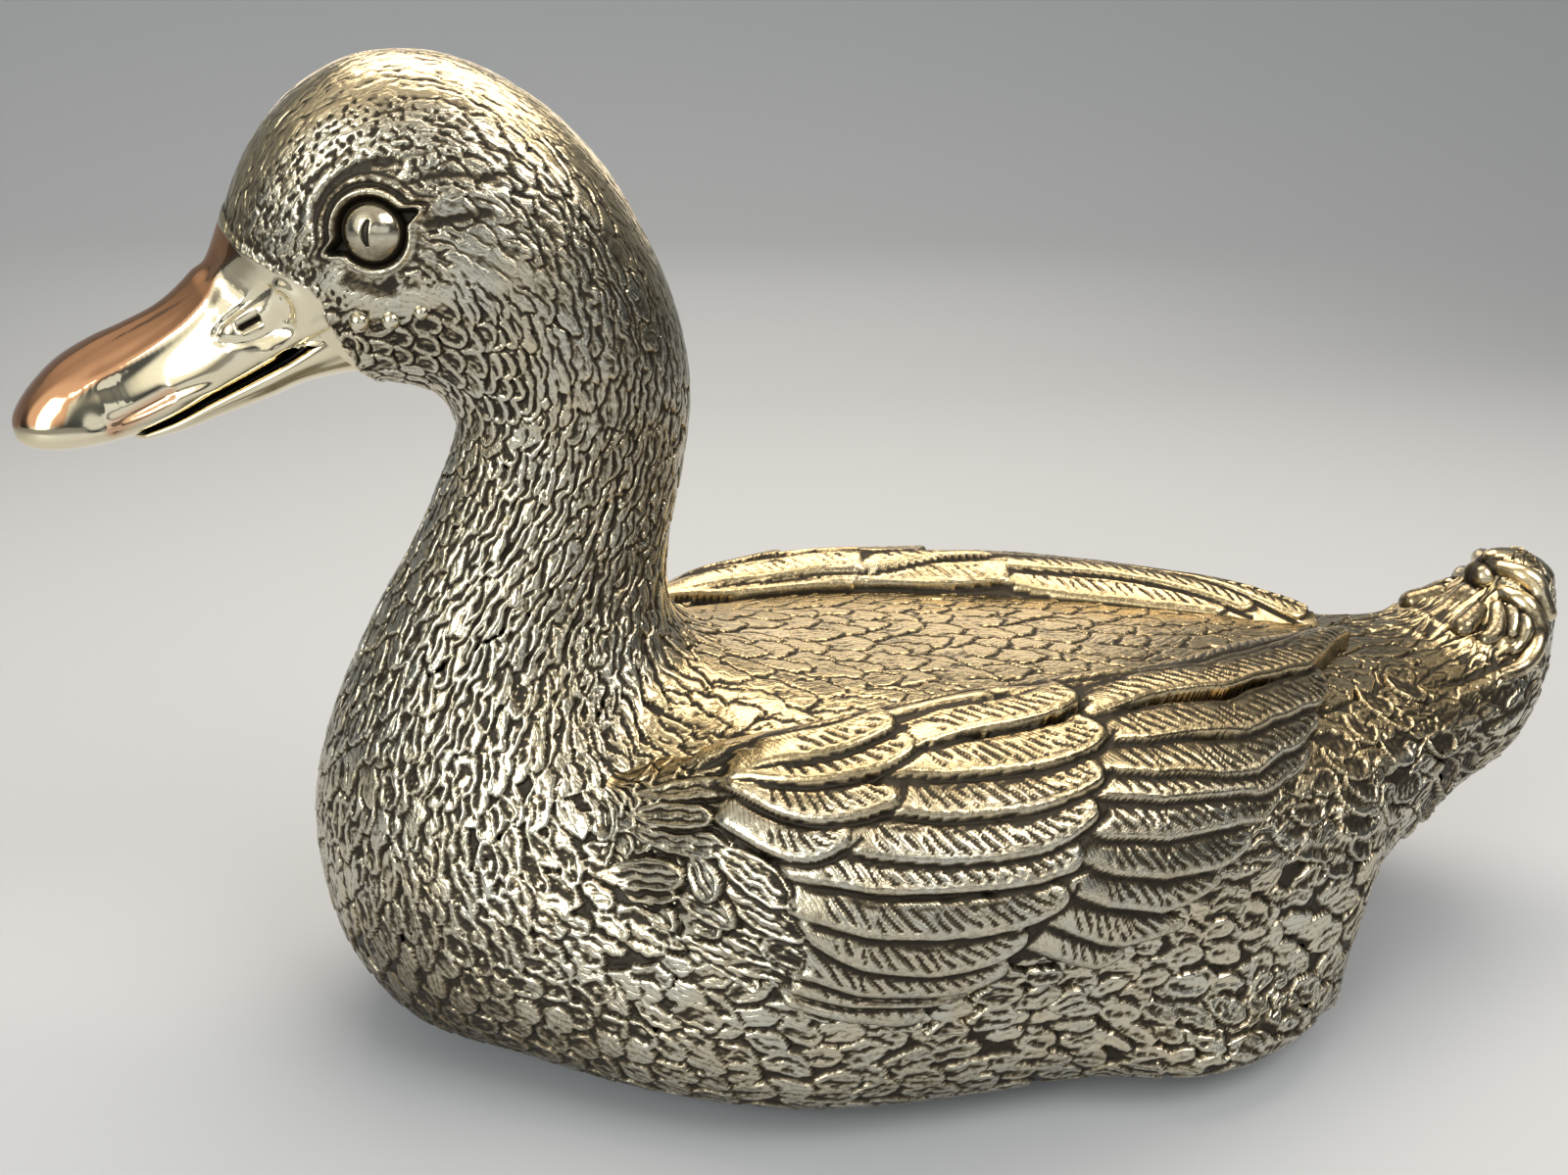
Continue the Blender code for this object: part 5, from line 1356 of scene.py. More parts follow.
def farWing():
    # the same skin as it is seen on the far side
    other = dict(wing)
    other["pixels"] = pixelsOf(wing["p"] * farSide)
    toCamera = eyePoint - wing["p"] * farSide
    other["seen"] = np.einsum("ijk,ijk->ij", wing["n"] * farSide, toCamera) > 0
    return other


# oval feathers of the shoulder: root and tip in the photograph's pixels, width, rise
ovals = [
    ((642, 883), (673, 944), 5.0, 0.6), ((660, 973), (771, 1015), 6.0, 0.7),
    ((721, 960), (792, 1001), 4.5, 0.7), ((736, 986), (806, 1005), 4.0, 0.7),
    ((628, 926), (688, 948), 4.4, 0.9), ((623, 908), (686, 914), 4.2, 0.9),
    ((620, 884), (697, 893), 6.4, 1.1), ((646, 845), (745, 866), 6.0, 0.8),
    ((646, 826), (729, 832), 5.4, 0.9), ((655, 803), (769, 797), 4.6, 0.9),
    ((776, 968), (820, 990), 5.0, 1.2), ((742, 921), (818, 962), 6.0, 1.2),
    ((728, 868), (806, 928), 7.4, 1.3), ((692, 944), (734, 957), 4.2, 1.0),
    ((688, 918), (746, 944), 6.0, 1.4), ((700, 878), (724, 922), 6.4, 1.6),
    ((705, 781), (800, 754), 3.4, 0.9), ((798, 756), (890, 731), 3.2, 0.9),
]


shoulderForm = {
    "rim": 0.25, "groove": 0.6, "cut": 0.5, "dish": 0.25, "streak": 0.24, "pitch": 1.7, "crown": 0.45,
    "round": 2.4, "meander": 0.2, "dot": 0.0, "shade": 0.35, "leaf": 0.9, "barbs": 1.0,
    "deep": 0.0,
}


# the short feathers, on the shoulder and the inner slope
inside = smooth(wing["a"][None, :] / 0.05) * smooth((wing["t"][:, None] - 11.6) / 0.4)
slope = smooth((wing["a"][None, :] - wing["peak"] + 0.06) / 0.05)
wing["cover"] = np.maximum(inside, slope)
featherRows(wing, plan, seeds["wingFeathers"], rows=(11.0, 17))
pastCrest = wing["a"][None, :] - wing["peak"]
innerSide, outerSide = smooth((pastCrest + 0.07) / 0.05), 1 - smooth((pastCrest - 0.02) / 0.05)
# the long ones in tiers: level and width in mm
for rims, level, name in ((innerPrimaries, 0.0, "innerPrimaries"), (innerCoverts, 0.6, "innerCoverts"),
                          (innerShorts, 1.1, "innerShorts")):
    bladeRow(farWing(), rims, level, 9.0, seeds[name], flip=-1.0, slash=0.16, rise=0.8, within=innerSide)
bladeRow(wing, primaries, 0.0, 10.5, seeds["primaries"], rise=1.4, within=outerSide)
bladeRow(wing, coverts, 0.8, 9.5, seeds["coverts"], rise=1.4, within=outerSide)
pressPlaced(wing, ovals, shoulderForm, False)
bladeRow(wing, shortCoverts, 1.5, 8.5, seeds["shortCoverts"], rise=1.4, within=outerSide)
wing["h"] += 0.05 * fieldNoise(wing["p"], 5.0, seeds["wingSwell"])
darken(wing)
print("wing feathers pressed")


def wingPiece(name, side, cad):
    # the feathered sheet, closed by a wall that runs down inside the body
    cover = smooth(wing["cover"])[..., None]
    high = wing["p"] + wing["n"] * (wing["h"] - wingDetail["sink"])[..., None]
    low = wing["under"]["p"] - wing["under"]["n"] * wingDetail["below"]
    points = low * (1 - cover) + high * cover
    rows, cols = points.shape[:2]
    index = np.arange(rows * cols).reshape(rows, cols)
    quads = np.stack([index[:-1, :-1], index[1:, :-1], index[1:, 1:], index[:-1, 1:]], -1)
    loop = np.concatenate([index[0, :-1], index[:-1, -1], index[-1, :0:-1], index[:0:-1, 0]])
    flat = points.reshape(-1, 3)
    inward = wing["under"]["n"].reshape(-1, 3)[loop]
    tucked = wing["under"]["p"].reshape(-1, 3)[loop] - inward * wingDetail["tuck"]
    middle = tucked.mean(0)[None]
    band, disc = closing(loop, len(flat))
    points = np.clip(np.concatenate([flat, tucked, middle]), *frameBox)
    faces = [quads.reshape(-1, 4), band, disc]
    if side > 0:
        points = points * farSide
    else:
        faces = [f[:, ::-1] for f in faces]
    attributes = {}
    for key in ("patina", "polish", "upper", "barb"):
        inner = np.ones(len(loop) + 1) * (key == "patina")
        attributes[key] = np.concatenate([wing[key].ravel(), inner])
    settle(meshOf(name, points, faces, attributes, silver), cad)


wingPiece("leftWingSkin", -1, "left_wing")
wingPiece("rightWingSkin", 1, "right_wing")
print("wings built")

# bill: its first sections grow out of the face so that the skin runs on smoothly
billDetail = {
    "rows": 190, "halfCols": 90,
    "blend": 1.7,             # sections over which it takes its own shape
    "mouthShare": 0.33,       # where the mouth's corner lies round the face
    "lip": 0.36,              # share of the bill's section that is its underside
    "inset": -0.15, "tuck": 0.4,      # mm
}


def billSkin():
    stations = np.linspace(0, len(billRibs) - 1, billDetail["rows"])
    shares = np.linspace(0, 1, billDetail["halfCols"] + 1)
    lip, mouth = billDetail["lip"], billDetail["mouthShare"]
    faceShares = np.interp(shares, [0, lip, 1], [mouth - 0.02, mouth, 1])
    face = sectionAt(birdTable, lastRib, faceShares)
    before = sectionAt(birdTable, lastRib - 0.2, faceShares)
    slope = (face - before) / 0.2 * 1.25
    rings = []
    for q in stations:
        half = sectionAt(billTable, q, shares, False)
        keep = float(1 - smooth(q / billDetail["blend"]))
        keep = keep * smooth((shares - lip * 0.6) / (lip * 0.5))[:, None]
        half = half + keep * (face + slope * q - half)
        half[0, 1] = half[-1, 1] = 0
        rings.append(ringOf(half))
    skin = makeSkin(np.array(rings), True)
    skin["t"], skin["s"] = stations, np.concatenate([shares, shares[-2:0:-1]])
    return skin


bill = billSkin()
bill["polish"] += 1
drawLines(bill, billLines, pixelsPerMm["head"])

# pixels along the lower edge of the painted copper reflection on the bill's top, and along the painted
# copper reflection in the hollow over the lip
copperReflectionEdge = ((64, 436), (71, 412), (97, 393), (127, 376), (163, 352), (189, 332), (213, 303),
              (224, 276), (243, 257))
copperReflectionHollow = ((174, 404), (146, 420), (116, 438))


def bothSides(skin, values):
    # what the camera's side shows, mirrored to the far side
    cols = (-np.arange(values.shape[1])) % values.shape[1]
    return np.where(skin["p"][..., 1] <= 0.01, values, values[:, cols])


def aboveLine(skin, pixels, soft):
    # 1 above a line of pixels and 0 below it
    line = np.array(pixels, float)
    x, y = skin["pixels"][..., 0], skin["pixels"][..., 1]
    return bothSides(skin, smooth((np.interp(x, line[:, 0], line[:, 1]) - y) / soft + 0.5))


def nearLine(skin, pixels, reach):
    # 1 along a straight line of pixels, fading out past its reach
    first, last = np.array(pixels[0], float), np.array(pixels[-1], float)
    rel, way = skin["pixels"] - first, last - first
    share = np.clip(rel @ way / (way @ way), 0, 1)
    off = np.linalg.norm(rel - share[..., None] * way, axis=-1) / reach
    return bothSides(skin, np.exp(-off ** 4))


def billPiece():
    bill["patina"] = np.clip(bill["stain"], 0, 1)
    # the painted copper reflection: above the band's edge, and in the hollow over the lip
    hollow = 0.8 * nearLine(bill, copperReflectionHollow, 9.0)
    bill["upper"] = np.maximum(aboveLine(bill, copperReflectionEdge, 5.0), hollow)
    shape(bill, billDetail["inset"])
    piece = skinPiece("upperBillSkin", bill, (0, bill["p"].shape[0]), mirror, billDetail["tuck"])
    settle(piece, "upper_bill")


billPiece()


# the lower bill, in mm from its root to its tip
mandible = {
    "depths": (6.6, 5.5, 4.4, 3.3, 2.2, 1.2),
    "widths": (11.0, 10.4, 9.9, 9.6, 9.2, 7.4),
    "gap": 0.05,                  # between it and the upper bill
    "rows": 150, "halfCols": 48, "tuck": 0.3,
    "root": 4.0,                  # how far it reaches back into the face
    "form": (0.74, 2.2, 4.5),     # widest share, squareness below and above
}


def mandibleSkin():
    # a shallow trough with a rounded lip; its upper part, under the upper bill, is painted dark as shade
    faceRib = splineAt(birdTable, lastRib)
    low, high = (faceRib[:2] + (faceRib[2:4] - faceRib[:2]) * share for share in (0.03, 0.335))
    back = -unit(billTable[1][:2] - billTable[0][:2]) * mandible["root"]
    ribs = [(*(low + back), *(high + back), mandible["widths"][0], *mandible["form"])]
    for k in range(1, len(mandible["depths"])):
        way = unit(billTable[k + 1][:2] - billTable[k - 1][:2])
        down = np.array([way[1], -way[0]])
        down = down if down[1] < 0 else -down
        top = billTable[k][:2] + down * mandible["gap"]
        low = top + down * mandible["depths"][k]
        ribs.append((*low, *top, mandible["widths"][k], *mandible["form"]))
    table = np.array(ribs)
    stations = np.linspace(0, len(ribs) - 1, mandible["rows"])
    shares = np.linspace(0, 1, mandible["halfCols"] + 1)
    rings = []
    for q in stations:
        half = sectionAt(table, q, shares, False)
        close = 1 - smooth((q - 4.6) / 0.4) * 0.5
        half[:, 1] *= close
        half[0, 1] = half[-1, 1] = 0
        rings.append(ringOf(half))
    skin = makeSkin(np.array(rings), True)
    skin["t"], skin["s"] = stations, np.concatenate([shares, shares[-2:0:-1]])
    lip = np.exp(-((skin["s"][None, :] - 0.60) / 0.10) ** 2)
    skin["h"] += lip * 0.22 * smooth((skin["t"][:, None] - 0.5) / 1.0)
    groove = np.exp(-((skin["s"][None, :] - 0.44) / 0.05) ** 2)
    skin["h"] -= 0.30 * groove
    # painted shade over the upper part, under the upper bill, and oxide in the groove
    inner = smooth((skin["s"][None, :] - 0.60) / 0.10)
    skin["patina"] = np.clip(0.55 * groove + 0.9 * inner, 0, 1) * np.ones(skin["h"].shape)
    skin["polish"] += 1
    return skin


def mandiblePiece():
    skin = mandibleSkin()
    shape(skin, 0.0)
    piece = skinPiece("lowerBillSkin", skin, (0, skin["p"].shape[0]), mirror, mandible["tuck"])
    settle(piece, "lower_bill")


mandiblePiece()

# the eyeball, in mm: its seat is where its rim lies, out from the hollow's skin
ballShape = {
    "radius": 5.6, "bulge": 3.9, "seat": -2.0, "root": 5.0, "rows": 56, "cols": 96,
    "pupil": 2.3, "slit": 0.62, "cut": 0.55,      # half height, half width and depth
    "lip": 0.16, "polish": 0.35,
}


def eyePiece(name, spot, normal, back, up, cad):
    # a polished ball in its hollow; a curved slit with a raised lip reads as the pupil
    form = ballShape
    radius, bulge = form["radius"], form["bulge"]
    sphere = (radius ** 2 + bulge ** 2) / (2 * bulge)
    rows, cols = form["rows"], form["cols"]
    radii = np.linspace(0, 1, rows)[1:] * radius
    angles = np.linspace(0, 2 * math.pi, cols, endpoint=False)
    r, angle = np.meshgrid(radii, angles, indexing="ij")
    h = bulge - sphere + np.sqrt(sphere ** 2 - r ** 2)
    x, y = r * np.cos(angle), r * np.sin(angle)
    share = np.clip(1 - (y / form["pupil"]) ** 2, 0, 1)
    bow = 0.10 - 0.55 * share + 0.25 * y / form["pupil"]
    slit = np.exp(-((x - bow) / (form["slit"] * (0.35 + 0.65 * share))) ** 4) * smooth(share * 5)
    lip = np.exp(-((x - bow - 1.05) / 0.5) ** 2) * share
    h = h - form["cut"] * slit + form["lip"] * lip
    # dark in the slit and towards the rim where the ball meets its hollow, a little darker evenly all
    # over, and painted shade over the ball's lower half
    stain = 0.20 + 1.0 * slit + 0.9 * smooth((r - radius * 0.80) / 0.7) + 0.40 * smooth(-y / 3 - 0.1)
    points = spot + x[..., None] * back + y[..., None] * up + (h + form["seat"])[..., None] * normal
    top = points[0].mean(0)
    circle = np.cos(angles)[:, None] * back + np.sin(angles)[:, None] * up
    low = spot + radius * circle * 0.98 - form["root"] * normal
    verts = np.concatenate([[top], points.reshape(-1, 3), low, [low.mean(0)]])
    index = 1 + np.arange((rows - 1) * cols).reshape(rows - 1, cols)
    nxt = np.roll(index, -1, 1)
    quads = np.stack([index[:-1], index[1:], nxt[1:], nxt[:-1]], -1).reshape(-1, 4)
    cap = np.stack([np.zeros(cols, int), index[0], nxt[0]], -1)
    rim = 1 + (rows - 1) * cols + np.arange(cols)
    wall = np.stack([index[-1], rim, np.roll(rim, -1), nxt[-1]], -1)
    floor = np.stack([rim, np.full(cols, rim[-1] + 1), np.roll(rim, -1)], -1)
    faces = [quads, cap, wall, floor]
    if np.cross(back, up) @ normal < 0:
        faces = [f[:, ::-1] for f in faces]
    patina = np.concatenate([[float(stain[0].mean())], stain.ravel(), np.ones(cols + 1)])
    looks = {"patina": patina, "polish": patina * 0 + form["polish"]}
    settle(meshOf(name, verts, faces, looks, silver), cad)


eyePiece("leftEyeBall", *eyes[0], "left_eye")
eyePiece("rightEyeBall", *eyes[1], "right_eye")
print("bill and eyes built")

# locks of the tuft at the tail's tip: places as pixel x, pixel y and mm across, or None
# where they lie on the skin, then radii in mm
tuft = {
    "locks": [
        (((1509, 596, 0), (1496, 609, 0), (1481, 623, 0), (1460, 634, 0), (1435, 641, 0)),
         (2.6, 3.4, 3.2, 2.6, 1.6)),
        (((1584, 622, 0), (1578, 600, 0), (1559, 580, 0), (1535, 572, 0), (1513, 570, 0)),
         (2.6, 3.4, 3.4, 3.0, 2.0)),
        (((1584, 636, None), (1576, 610, None), (1567, 594, None), (1550, 585, None), (1527, 579, -2),
          (1516, 573, -1)),
         (2.2, 2.7, 2.7, 2.5, 2.1, 1.5)),
        (((1574, 656, None), (1568, 630, None), (1556, 614, None), (1540, 605, None), (1526, 595, -2)),
         (2.0, 2.6, 2.6, 2.2, 1.5)),
        (((1519, 576, -1), (1513, 588, -1), (1518, 602, -1)), (2.2, 3.2, 2.2)),
        (((1513, 613, None), (1504, 627, None), (1492, 640, None), (1485, 648, None)),
         (1.9, 2.8, 3.0, 2.2)),
        (((1526, 611, None), (1529, 628, None), (1524, 646, None), (1509, 655, None)),
         (1.6, 2.2, 2.2, 1.6)),
        (((1538, 614, None), (1544, 629, None), (1543, 650, None)), (1.5, 2.0, 1.5)),
        (((1553, 622, None), (1558, 641, None), (1553, 656, None), (1543, 665, None)),
         (1.8, 2.2, 2.0, 1.3)),
        (((1572, 640, None), (1567, 662, None), (1553, 680, None), (1530, 689, None)),
         (2.0, 2.3, 2.1, 1.3)),
    ],
    "paintedShadeEdge": (1507, 596),   # locks this side of the pixel get painted brown shade, as the tail's back lies in shade
    "sunk": 0.6,          # mm, how deep a lock lies in the skin
    "sides": 16,
    "step": 0.45,         # mm between the rings of a lock
    "ripple": 0.40,       # mm, unevenness of the casting
    "rippleSize": 2.2,    # mm
    "samples": 60,
    "paintedShade": 0.42,        # how dark that painted shade is
}


def newTree(name, sockets):
    # a geometry tree with named inputs, and its first and last nodes
    tree = bpy.data.node_groups.new(name, "GeometryNodeTree")
    tree.interface.new_socket("Geometry", in_out="INPUT", socket_type="NodeSocketGeometry")
    for label, kind in sockets:
        tree.interface.new_socket(label, in_out="INPUT", socket_type=kind)
    tree.interface.new_socket("Geometry", in_out="OUTPUT", socket_type="NodeSocketGeometry")
    return tree, tree.nodes.new("NodeGroupInput"), tree.nodes.new("NodeGroupOutput")


def endTree(tree, start, last, shape):
    soft = node(tree, "GeometryNodeSetShadeSmooth", None, {0: shape})
    real = node(tree, "GeometryNodeRealizeInstances", None, {0: soft})
    done = node(tree, "GeometryNodeSetMaterial", None, {0: real, "Material": start.outputs["Finish"]})
    tree.links.new(done.outputs[0], last.inputs[0])
    return tree


def lockTree():
    # round locks swept along lines, as thick as each line says, slightly uneven
    tree, start, last = newTree("tuftLocks", [
        ("Sides", "NodeSocketInt"), ("Step", "NodeSocketFloat"), ("Ripple", "NodeSocketFloat"),
        ("Ripple Size", "NodeSocketFloat"), ("Seed", "NodeSocketFloat"),
        ("Finish", "NodeSocketMaterial")])
    line = node(tree, "GeometryNodeMeshToCurve", None, {0: start.outputs["Geometry"]})
    radius = node(tree, "GeometryNodeInputNamedAttribute", {"data_type": "FLOAT"}, {
        "Name": "thick"})
    line = node(tree, "GeometryNodeResampleCurve", {"mode": "LENGTH"}, {
        "Curve": line, "Length": start.outputs["Step"]})
    ring = node(tree, "GeometryNodeCurvePrimitiveCircle", None, {
        "Resolution": start.outputs["Sides"], "Radius": 1.0})
    tube = node(tree, "GeometryNodeCurveToMesh", None, {
        "Curve": line, "Profile Curve": ring, "Scale": radius, "Fill Caps": True})
    size = node(tree, "ShaderNodeMath", {"operation": "DIVIDE"}, {
        0: 1.0, 1: start.outputs["Ripple Size"]})
    noise = node(tree, "ShaderNodeTexNoise", {"noise_dimensions": "4D"}, {
        "W": start.outputs["Seed"], "Scale": size, "Detail": 1.0})
    push = node(tree, "ShaderNodeMath", minus, {0: noise.outputs["Fac"], 1: 0.5})
    push = node(tree, "ShaderNodeMath", times, {0: push, 1: start.outputs["Ripple"]})
    way = node(tree, "ShaderNodeVectorMath", {"operation": "SCALE"}, {
        0: tree.nodes.new("GeometryNodeInputNormal").outputs[0], "Scale": push})
    moved = node(tree, "GeometryNodeSetPosition", None, {"Geometry": tube.outputs[0], "Offset": way})
    return endTree(tree, start, last, moved.outputs[0])


def beadTree():
    # rounded drops of uneven size along a line
    tree, start, last = newTree("beadRow", [
        ("Spacing", "NodeSocketFloat"), ("Size", "NodeSocketFloat"), ("Least", "NodeSocketFloat"),
        ("Seed", "NodeSocketInt"), ("Finish", "NodeSocketMaterial")])
    line = node(tree, "GeometryNodeMeshToCurve", None, {0: start.outputs["Geometry"]})
    spots = node(tree, "GeometryNodeCurveToPoints", {"mode": "LENGTH"}, {
        "Curve": line, "Length": start.outputs["Spacing"]})
    drop = node(tree, "GeometryNodeMeshIcoSphere", None, {
        "Radius": start.outputs["Size"], "Subdivisions": 3})
    some = node(tree, "FunctionNodeRandomValue", {"data_type": "FLOAT"}, {
        2: start.outputs["Least"], 3: 1.0, "Seed": start.outputs["Seed"]}).outputs[1]
    beads = node(tree, "GeometryNodeInstanceOnPoints", None, {
        "Points": spots.outputs[0], "Instance": drop, "Scale": some})
    return endTree(tree, start, last, beads)


def growMesh(name, tree, lines, values):
    # runs a tree on lines of (points, radii) and returns a plain mesh object
    mesh = bpy.data.meshes.new(name + "Lines")
    points = np.concatenate([points for points, _ in lines]) * mm
    counts = np.cumsum([0] + [len(points) for points, _ in lines])
    edges = [(k, k + 1) for a, b in zip(counts[:-1], counts[1:]) for k in range(a, b - 1)]
    mesh.from_pydata([tuple(p) for p in points], edges, [])
    layer = mesh.attributes.new("thick", "FLOAT", "POINT")
    radii = np.concatenate([radii for _, radii in lines]) * mm
    layer.data.foreach_set("value", radii.astype(np.float32))
    item = addObject(name, mesh)
    grow = item.modifiers.new("grow", "NODES")
    grow.node_group = tree
    for socket in tree.interface.items_tree:
        if socket.in_out == "INPUT" and socket.name in values:
            grow[socket.identifier] = values[socket.name]
    bpy.context.view_layer.update()
    result = item.evaluated_get(bpy.context.evaluated_depsgraph_get())
    made = bpy.data.meshes.new_from_object(result)
    item.modifiers.remove(grow)
    item.data = made
    bpy.data.meshes.remove(mesh)
    return item


def coordinatesOf(item):
    flat = np.empty(3 * len(item.data.vertices), np.float32)
    item.data.vertices.foreach_get("co", flat)
    return flat.reshape(-1, 3).astype(float) / mm


def colourBy(item, values):
    for key, numbers in values.items():
        layer = item.data.attributes.new(key, "FLOAT", "POINT")
        layer.data.foreach_set("value", numbers.astype(np.float32))


def spotOf(place):
    # where a point of a lock lies
    if place[2] is not None:
        return spotAt(place[:2], place[2])
    i, j = locate(bird, place[:2])
    return bird["made"][i, j] - bird["n"][i, j] * tuft["sunk"]


def tuftPiece():
    lines = []
    for places, radii in tuft["locks"]:
        spots = np.array([spotOf(place) for place in places])
        steps = np.linspace(0, len(spots) - 1, tuft["samples"])
        table = np.array([splineAt(spots, u) for u in steps])
        thick = np.interp(steps, np.arange(len(radii)), radii)
        run = runOf(table)
        ends = np.clip(np.minimum(run, run[-1] - run) / thick, 0, 1)
        thick = thick * np.sqrt(np.clip(1 - (1 - ends) ** 2, 0.004, 1))
        lines.append((table, thick))
        if np.abs(table[:, 1]).max() > 0.5:
            lines.append((table * farSide, thick))
    piece = growMesh("tailTuft", lockTree(), lines, {
        "Sides": tuft["sides"], "Step": tuft["step"] * mm, "Ripple": tuft["ripple"] * mm,
        "Ripple Size": tuft["rippleSize"] * mm, "Seed": seeds["tuftRipple"], "Finish": silver})
    points = coordinatesOf(piece)
    inBox = np.clip(points, *frameBox) * mm
    piece.data.vertices.foreach_set("co", inBox.astype(np.float32).ravel())
    # oxide lies where the second nearest lock is close too
    gaps = []
    for table, thick in lines:
        gaps.append((np.linalg.norm(points[:, None] - table[None], axis=2) - thick[None]).min(1))
    gaps = np.sort(np.array(gaps), axis=0)
    crevice = smooth((0.95 - gaps[1]) / 0.8)
    uneven = fieldNoise(points[None], 1.6, seeds["tuftStain"], 2)[0]
    # painted shade on the locks nearer the body
    inPaintedShade = smooth((spotAt(tuft["paintedShadeEdge"], 0)[0] - points[:, 0]) / 3)
    stain = 0.85 * crevice + 0.35 * smooth(uneven - 0.1) + tuft["paintedShade"] * inPaintedShade
    # the whole tuft gets half of the painted warm light from above
    colourBy(piece, {"patina": np.clip(stain, 0, 1), "polish": crevice * 0, "upper": crevice * 0 + 0.5,
                     "barb": crevice * 0})
    return piece


def finishGrown(piece, cad):
    # faces are turned outwards where the tree made them the other way round
    piece.data.update()
    start = piece.data.vertices[0].co
    if sum(face.normal.dot(face.center - start) * face.area for face in piece.data.polygons) < 0:
        piece.data.flip_normals()
    settle(piece, cad)


finishGrown(tuftPiece(), "tail_curl")

# the beads behind the corner of the mouth, along a line of pixels: the rest in mm
beads = {
    "line": ((366, 329), (382, 331), (398, 328), (414, 325), (430, 320)),
    "spacing": 4.0,
    "size": 2.15,
    "least": 0.62,        # the smallest bead, as a share of the largest
    "lift": -0.45,        # how far their middles lie out of the skin
    "polish": 0.4,
}


def beadPiece():
    path = pathOn(bird, beads["line"])
    near = path["line"] + path["normal"] * beads["lift"]
    thick = np.ones(len(near))
    piece = growMesh("cornerBeads", beadTree(), [(near, thick), (near * farSide, thick)], {
        "Spacing": beads["spacing"] * mm, "Size": beads["size"] * mm, "Least": beads["least"],
        "Seed": seeds["beads"], "Finish": silver})
    none = np.zeros(len(piece.data.vertices))
    colourBy(piece, {"patina": none, "polish": none + beads["polish"], "upper": none, "barb": none})
    return piece


finishGrown(beadPiece(), "head_shell")
print("tuft and beads grown")

# what stays of the frame inside gets its own finishes
brass = plainMetal("rolledBrass", "#C9A35B", "#A8823F", 0.32, 3.0)
steel = plainMetal("turnedSteel", "#A9ABAD", "#85878A", 0.35, 1.2)
iron = plainMetal("castBallastIron", "#4B4A49", "#2F2E2D", 0.60, 1.0)
felt = woolFelt()
finishes = {"sleeve": brass, "plug": brass, "base_plate": brass, "screw": steel, "pin": steel,
            "ballast": iron, "felt": felt, "bill": mirror}
for name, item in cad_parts.items():
    for word, material in finishes.items():
        if word in name:
            item.data.materials.clear()
            item.data.materials.append(material)


# the room: a plain pale sweep, soft lamps, and a sky that the metal mirrors
studio = {
    "floor": "#B7BCC5",
    "back": 1.6, "front": -14.0, "halfWidth": 14.0, "height": 3.0, "bend": 0.9,      # m
    "sky": ((0.0, "#3A3B3D"), (0.5, "#45484C"), (0.68, "#77797A"), (0.86, "#D8D0C2"), (1.0, "#FFF8EC")),
    # a broad window to the left of the camera
    "window": (-0.652, -0.631, 0.42), "windowColour": "#FBF8EA",
    "skyStrength": 0.75, "windowStrength": 0.40,
    # lamps: place, target and size in m, power in W, colour
    "lamps": [
        ("softBoxAbove", (0.05, 0.25, 0.80), (0.0, 0.0, 0.06), (0.80, 0.55), 5.4, "#FFEFD8"),
        ("tallWindow", (-0.62, -0.60, 0.40), (-0.05, 0.0, 0.08), (0.30, 0.55), 3.2, "#F6F8F2"),
        ("softBoxSide", (0.42, -0.50, 0.78), (0.03, 0.0, 0.05), (0.60, 0.45), 4.0, "#FBF6EC"),
        ("softBoxBehind", (0.05, 0.95, 0.44), (0.02, 0.0, 0.07), (1.0, 0.34), 1.5, "#FFF1DA"),
        ("lowWindow", (0.25, -0.95, 0.30), (0.05, 0.0, 0.05), (0.9, 0.35), 0.8, "#F4F6F4"),
    ],
}


def addFloor():
    mesh = bpy.data.meshes.new("floor")
    start, bend = studio["back"] - studio["bend"], studio["bend"]
    profile = [(studio["front"], 0.0), (start, 0.0)]
    for a in np.linspace(0.04, 0.5, 12) * math.pi:
        profile.append((start + bend * math.sin(a), bend - bend * math.cos(a)))
    profile.append((studio["back"], studio["height"]))
    verts = [(x, y, z) for y, z in profile for x in (-studio["halfWidth"], studio["halfWidth"])]
    faces = [(2 * k, 2 * k + 1, 2 * k + 3, 2 * k + 2) for k in range(len(profile) - 1)]
    mesh.from_pydata(verts, [], faces)
    mesh.shade_smooth()
    floor = addObject("floor", mesh)
    material, tree, shader = newMaterial("palePaper")
    shader.inputs["Base Color"].default_value = toLinear(studio["floor"])
    shader.inputs["Roughness"].default_value = 0.85
    mesh.materials.append(material)


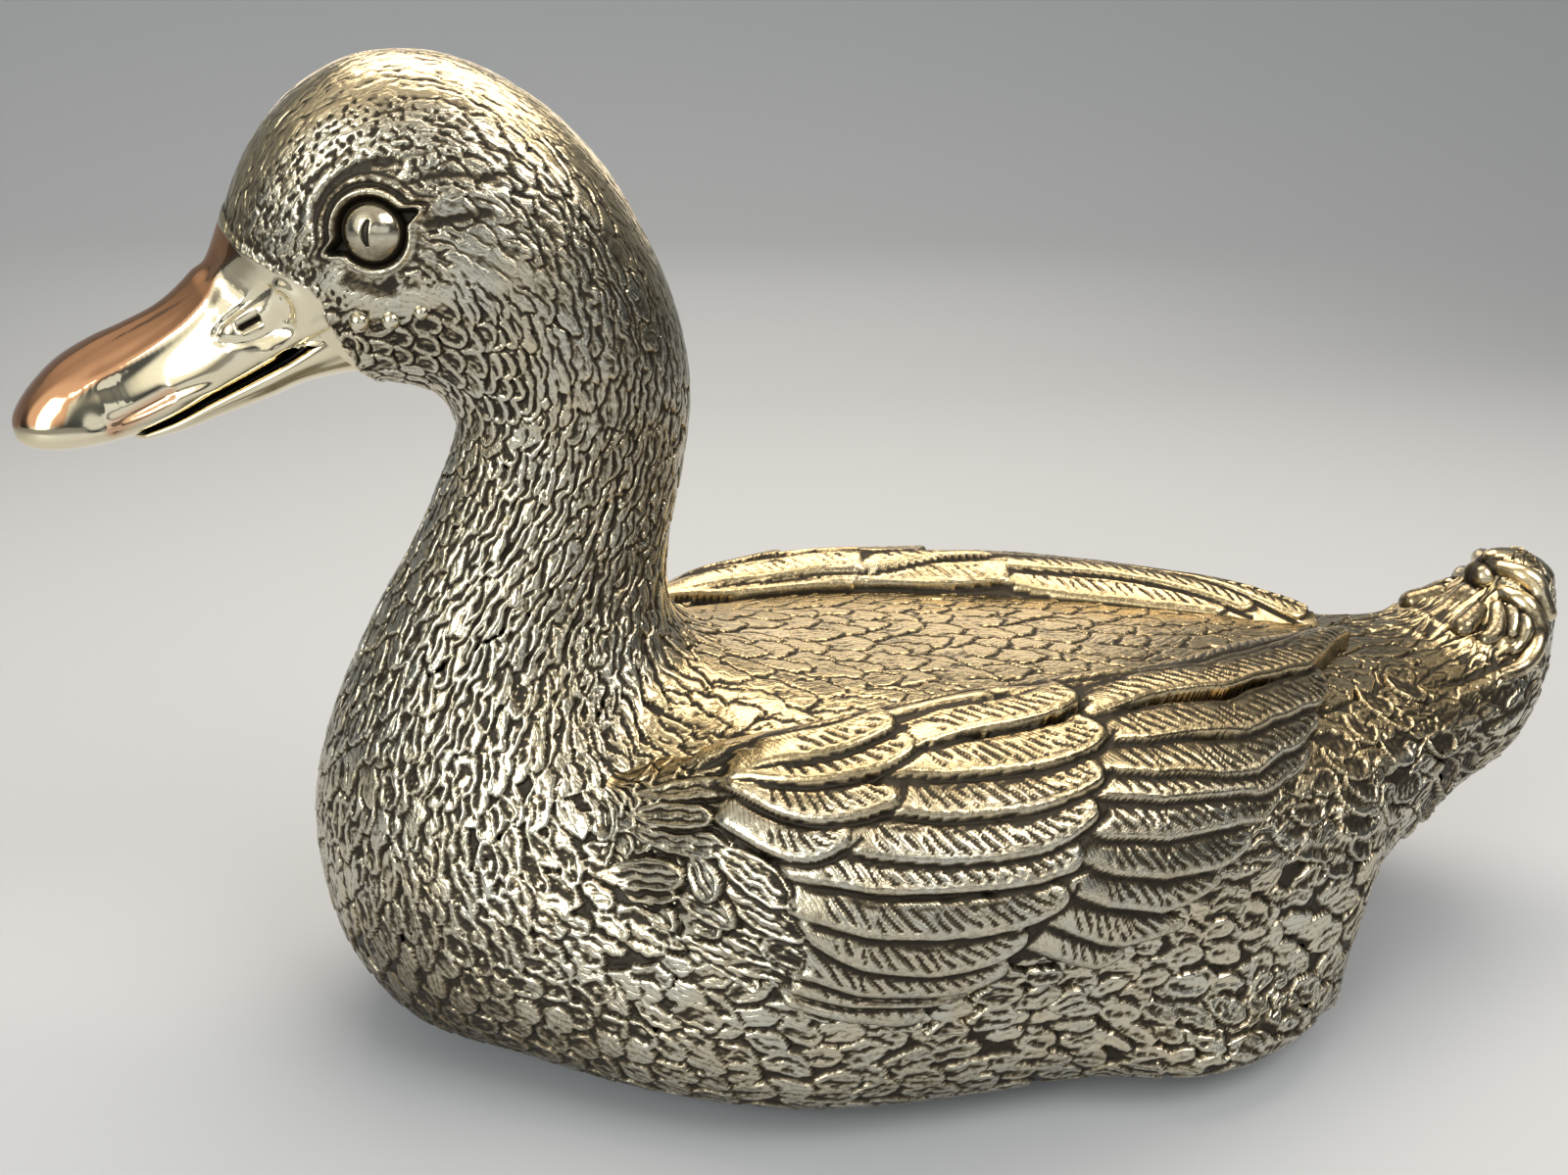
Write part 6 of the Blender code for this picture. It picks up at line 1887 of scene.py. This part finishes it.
def addSky():
    world = bpy.data.worlds.new("studio")
    bpy.context.scene.world = world
    world.use_nodes = True
    tree = world.node_tree
    tree.nodes.clear()
    out = tree.nodes.new("ShaderNodeOutputWorld")
    way = node(tree, "ShaderNodeTexCoord").outputs["Generated"]
    height = node(tree, "ShaderNodeSeparateXYZ", None, {0: way}).outputs["Z"]
    height = node(tree, "ShaderNodeMapRange", None, {
        "Value": height, "From Min": -1.0, "From Max": 1.0})
    ramp = node(tree, "ShaderNodeValToRGB", None, {0: height})
    stops = studio["sky"]
    for element, (position, code) in zip(ramp.color_ramp.elements, (stops[0], stops[-1])):
        element.position = position
        element.color = toLinear(code)
    for position, code in stops[1:-1]:
        ramp.color_ramp.elements.new(position).color = toLinear(code)
    pane = node(tree, "ShaderNodeVectorMath", {"operation": "DOT_PRODUCT"}, {0: way, 1: studio["window"]})
    pane = node(tree, "ShaderNodeMapRange", eased, {
        "Value": pane.outputs["Value"], "From Min": 0.80, "From Max": 0.92})
    colour = node(tree, "ShaderNodeMix", inColour, {
        0: pane, 6: ramp.outputs[0], 7: toLinear(studio["windowColour"])}).outputs[2]
    strength = node(tree, "ShaderNodeMath", timesPlus, {
        0: pane, 1: studio["windowStrength"], 2: studio["skyStrength"]})
    light = node(tree, "ShaderNodeBackground", None, {"Color": colour, "Strength": strength})
    tree.links.new(light.outputs[0], out.inputs["Surface"])


def addLamps():
    for name, place, target, size, power, code in studio["lamps"]:
        lamp = bpy.data.lights.new(name, "AREA")
        lamp.shape = "RECTANGLE"
        lamp.size, lamp.size_y = size
        lamp.energy = power
        lamp.color = toLinear(code)[:3]
        item = addObject(name, lamp)
        item.location = place
        item.visible_camera = False
        item.rotation_euler = (Vector(target) - Vector(place)).to_track_quat("-Z", "Y").to_euler()


addFloor()
addSky()
addLamps()
print("stage set")


def addCamera():
    lens = bpy.data.cameras.new("camera")
    lens.sensor_width = 36.0
    lens.angle = math.radians(view["fieldOfView"])
    lens.clip_start = 0.01
    item = addObject("camera", lens)
    item.location = [v * mm for v in view["place"]]
    item.rotation_euler = Vector(lookWay).to_track_quat("-Z", "Y").to_euler()
    bpy.context.scene.camera = item


addCamera()
bpy.context.scene.view_settings.view_transform = "Standard"

bpy.context.view_layer.update()
print("done")
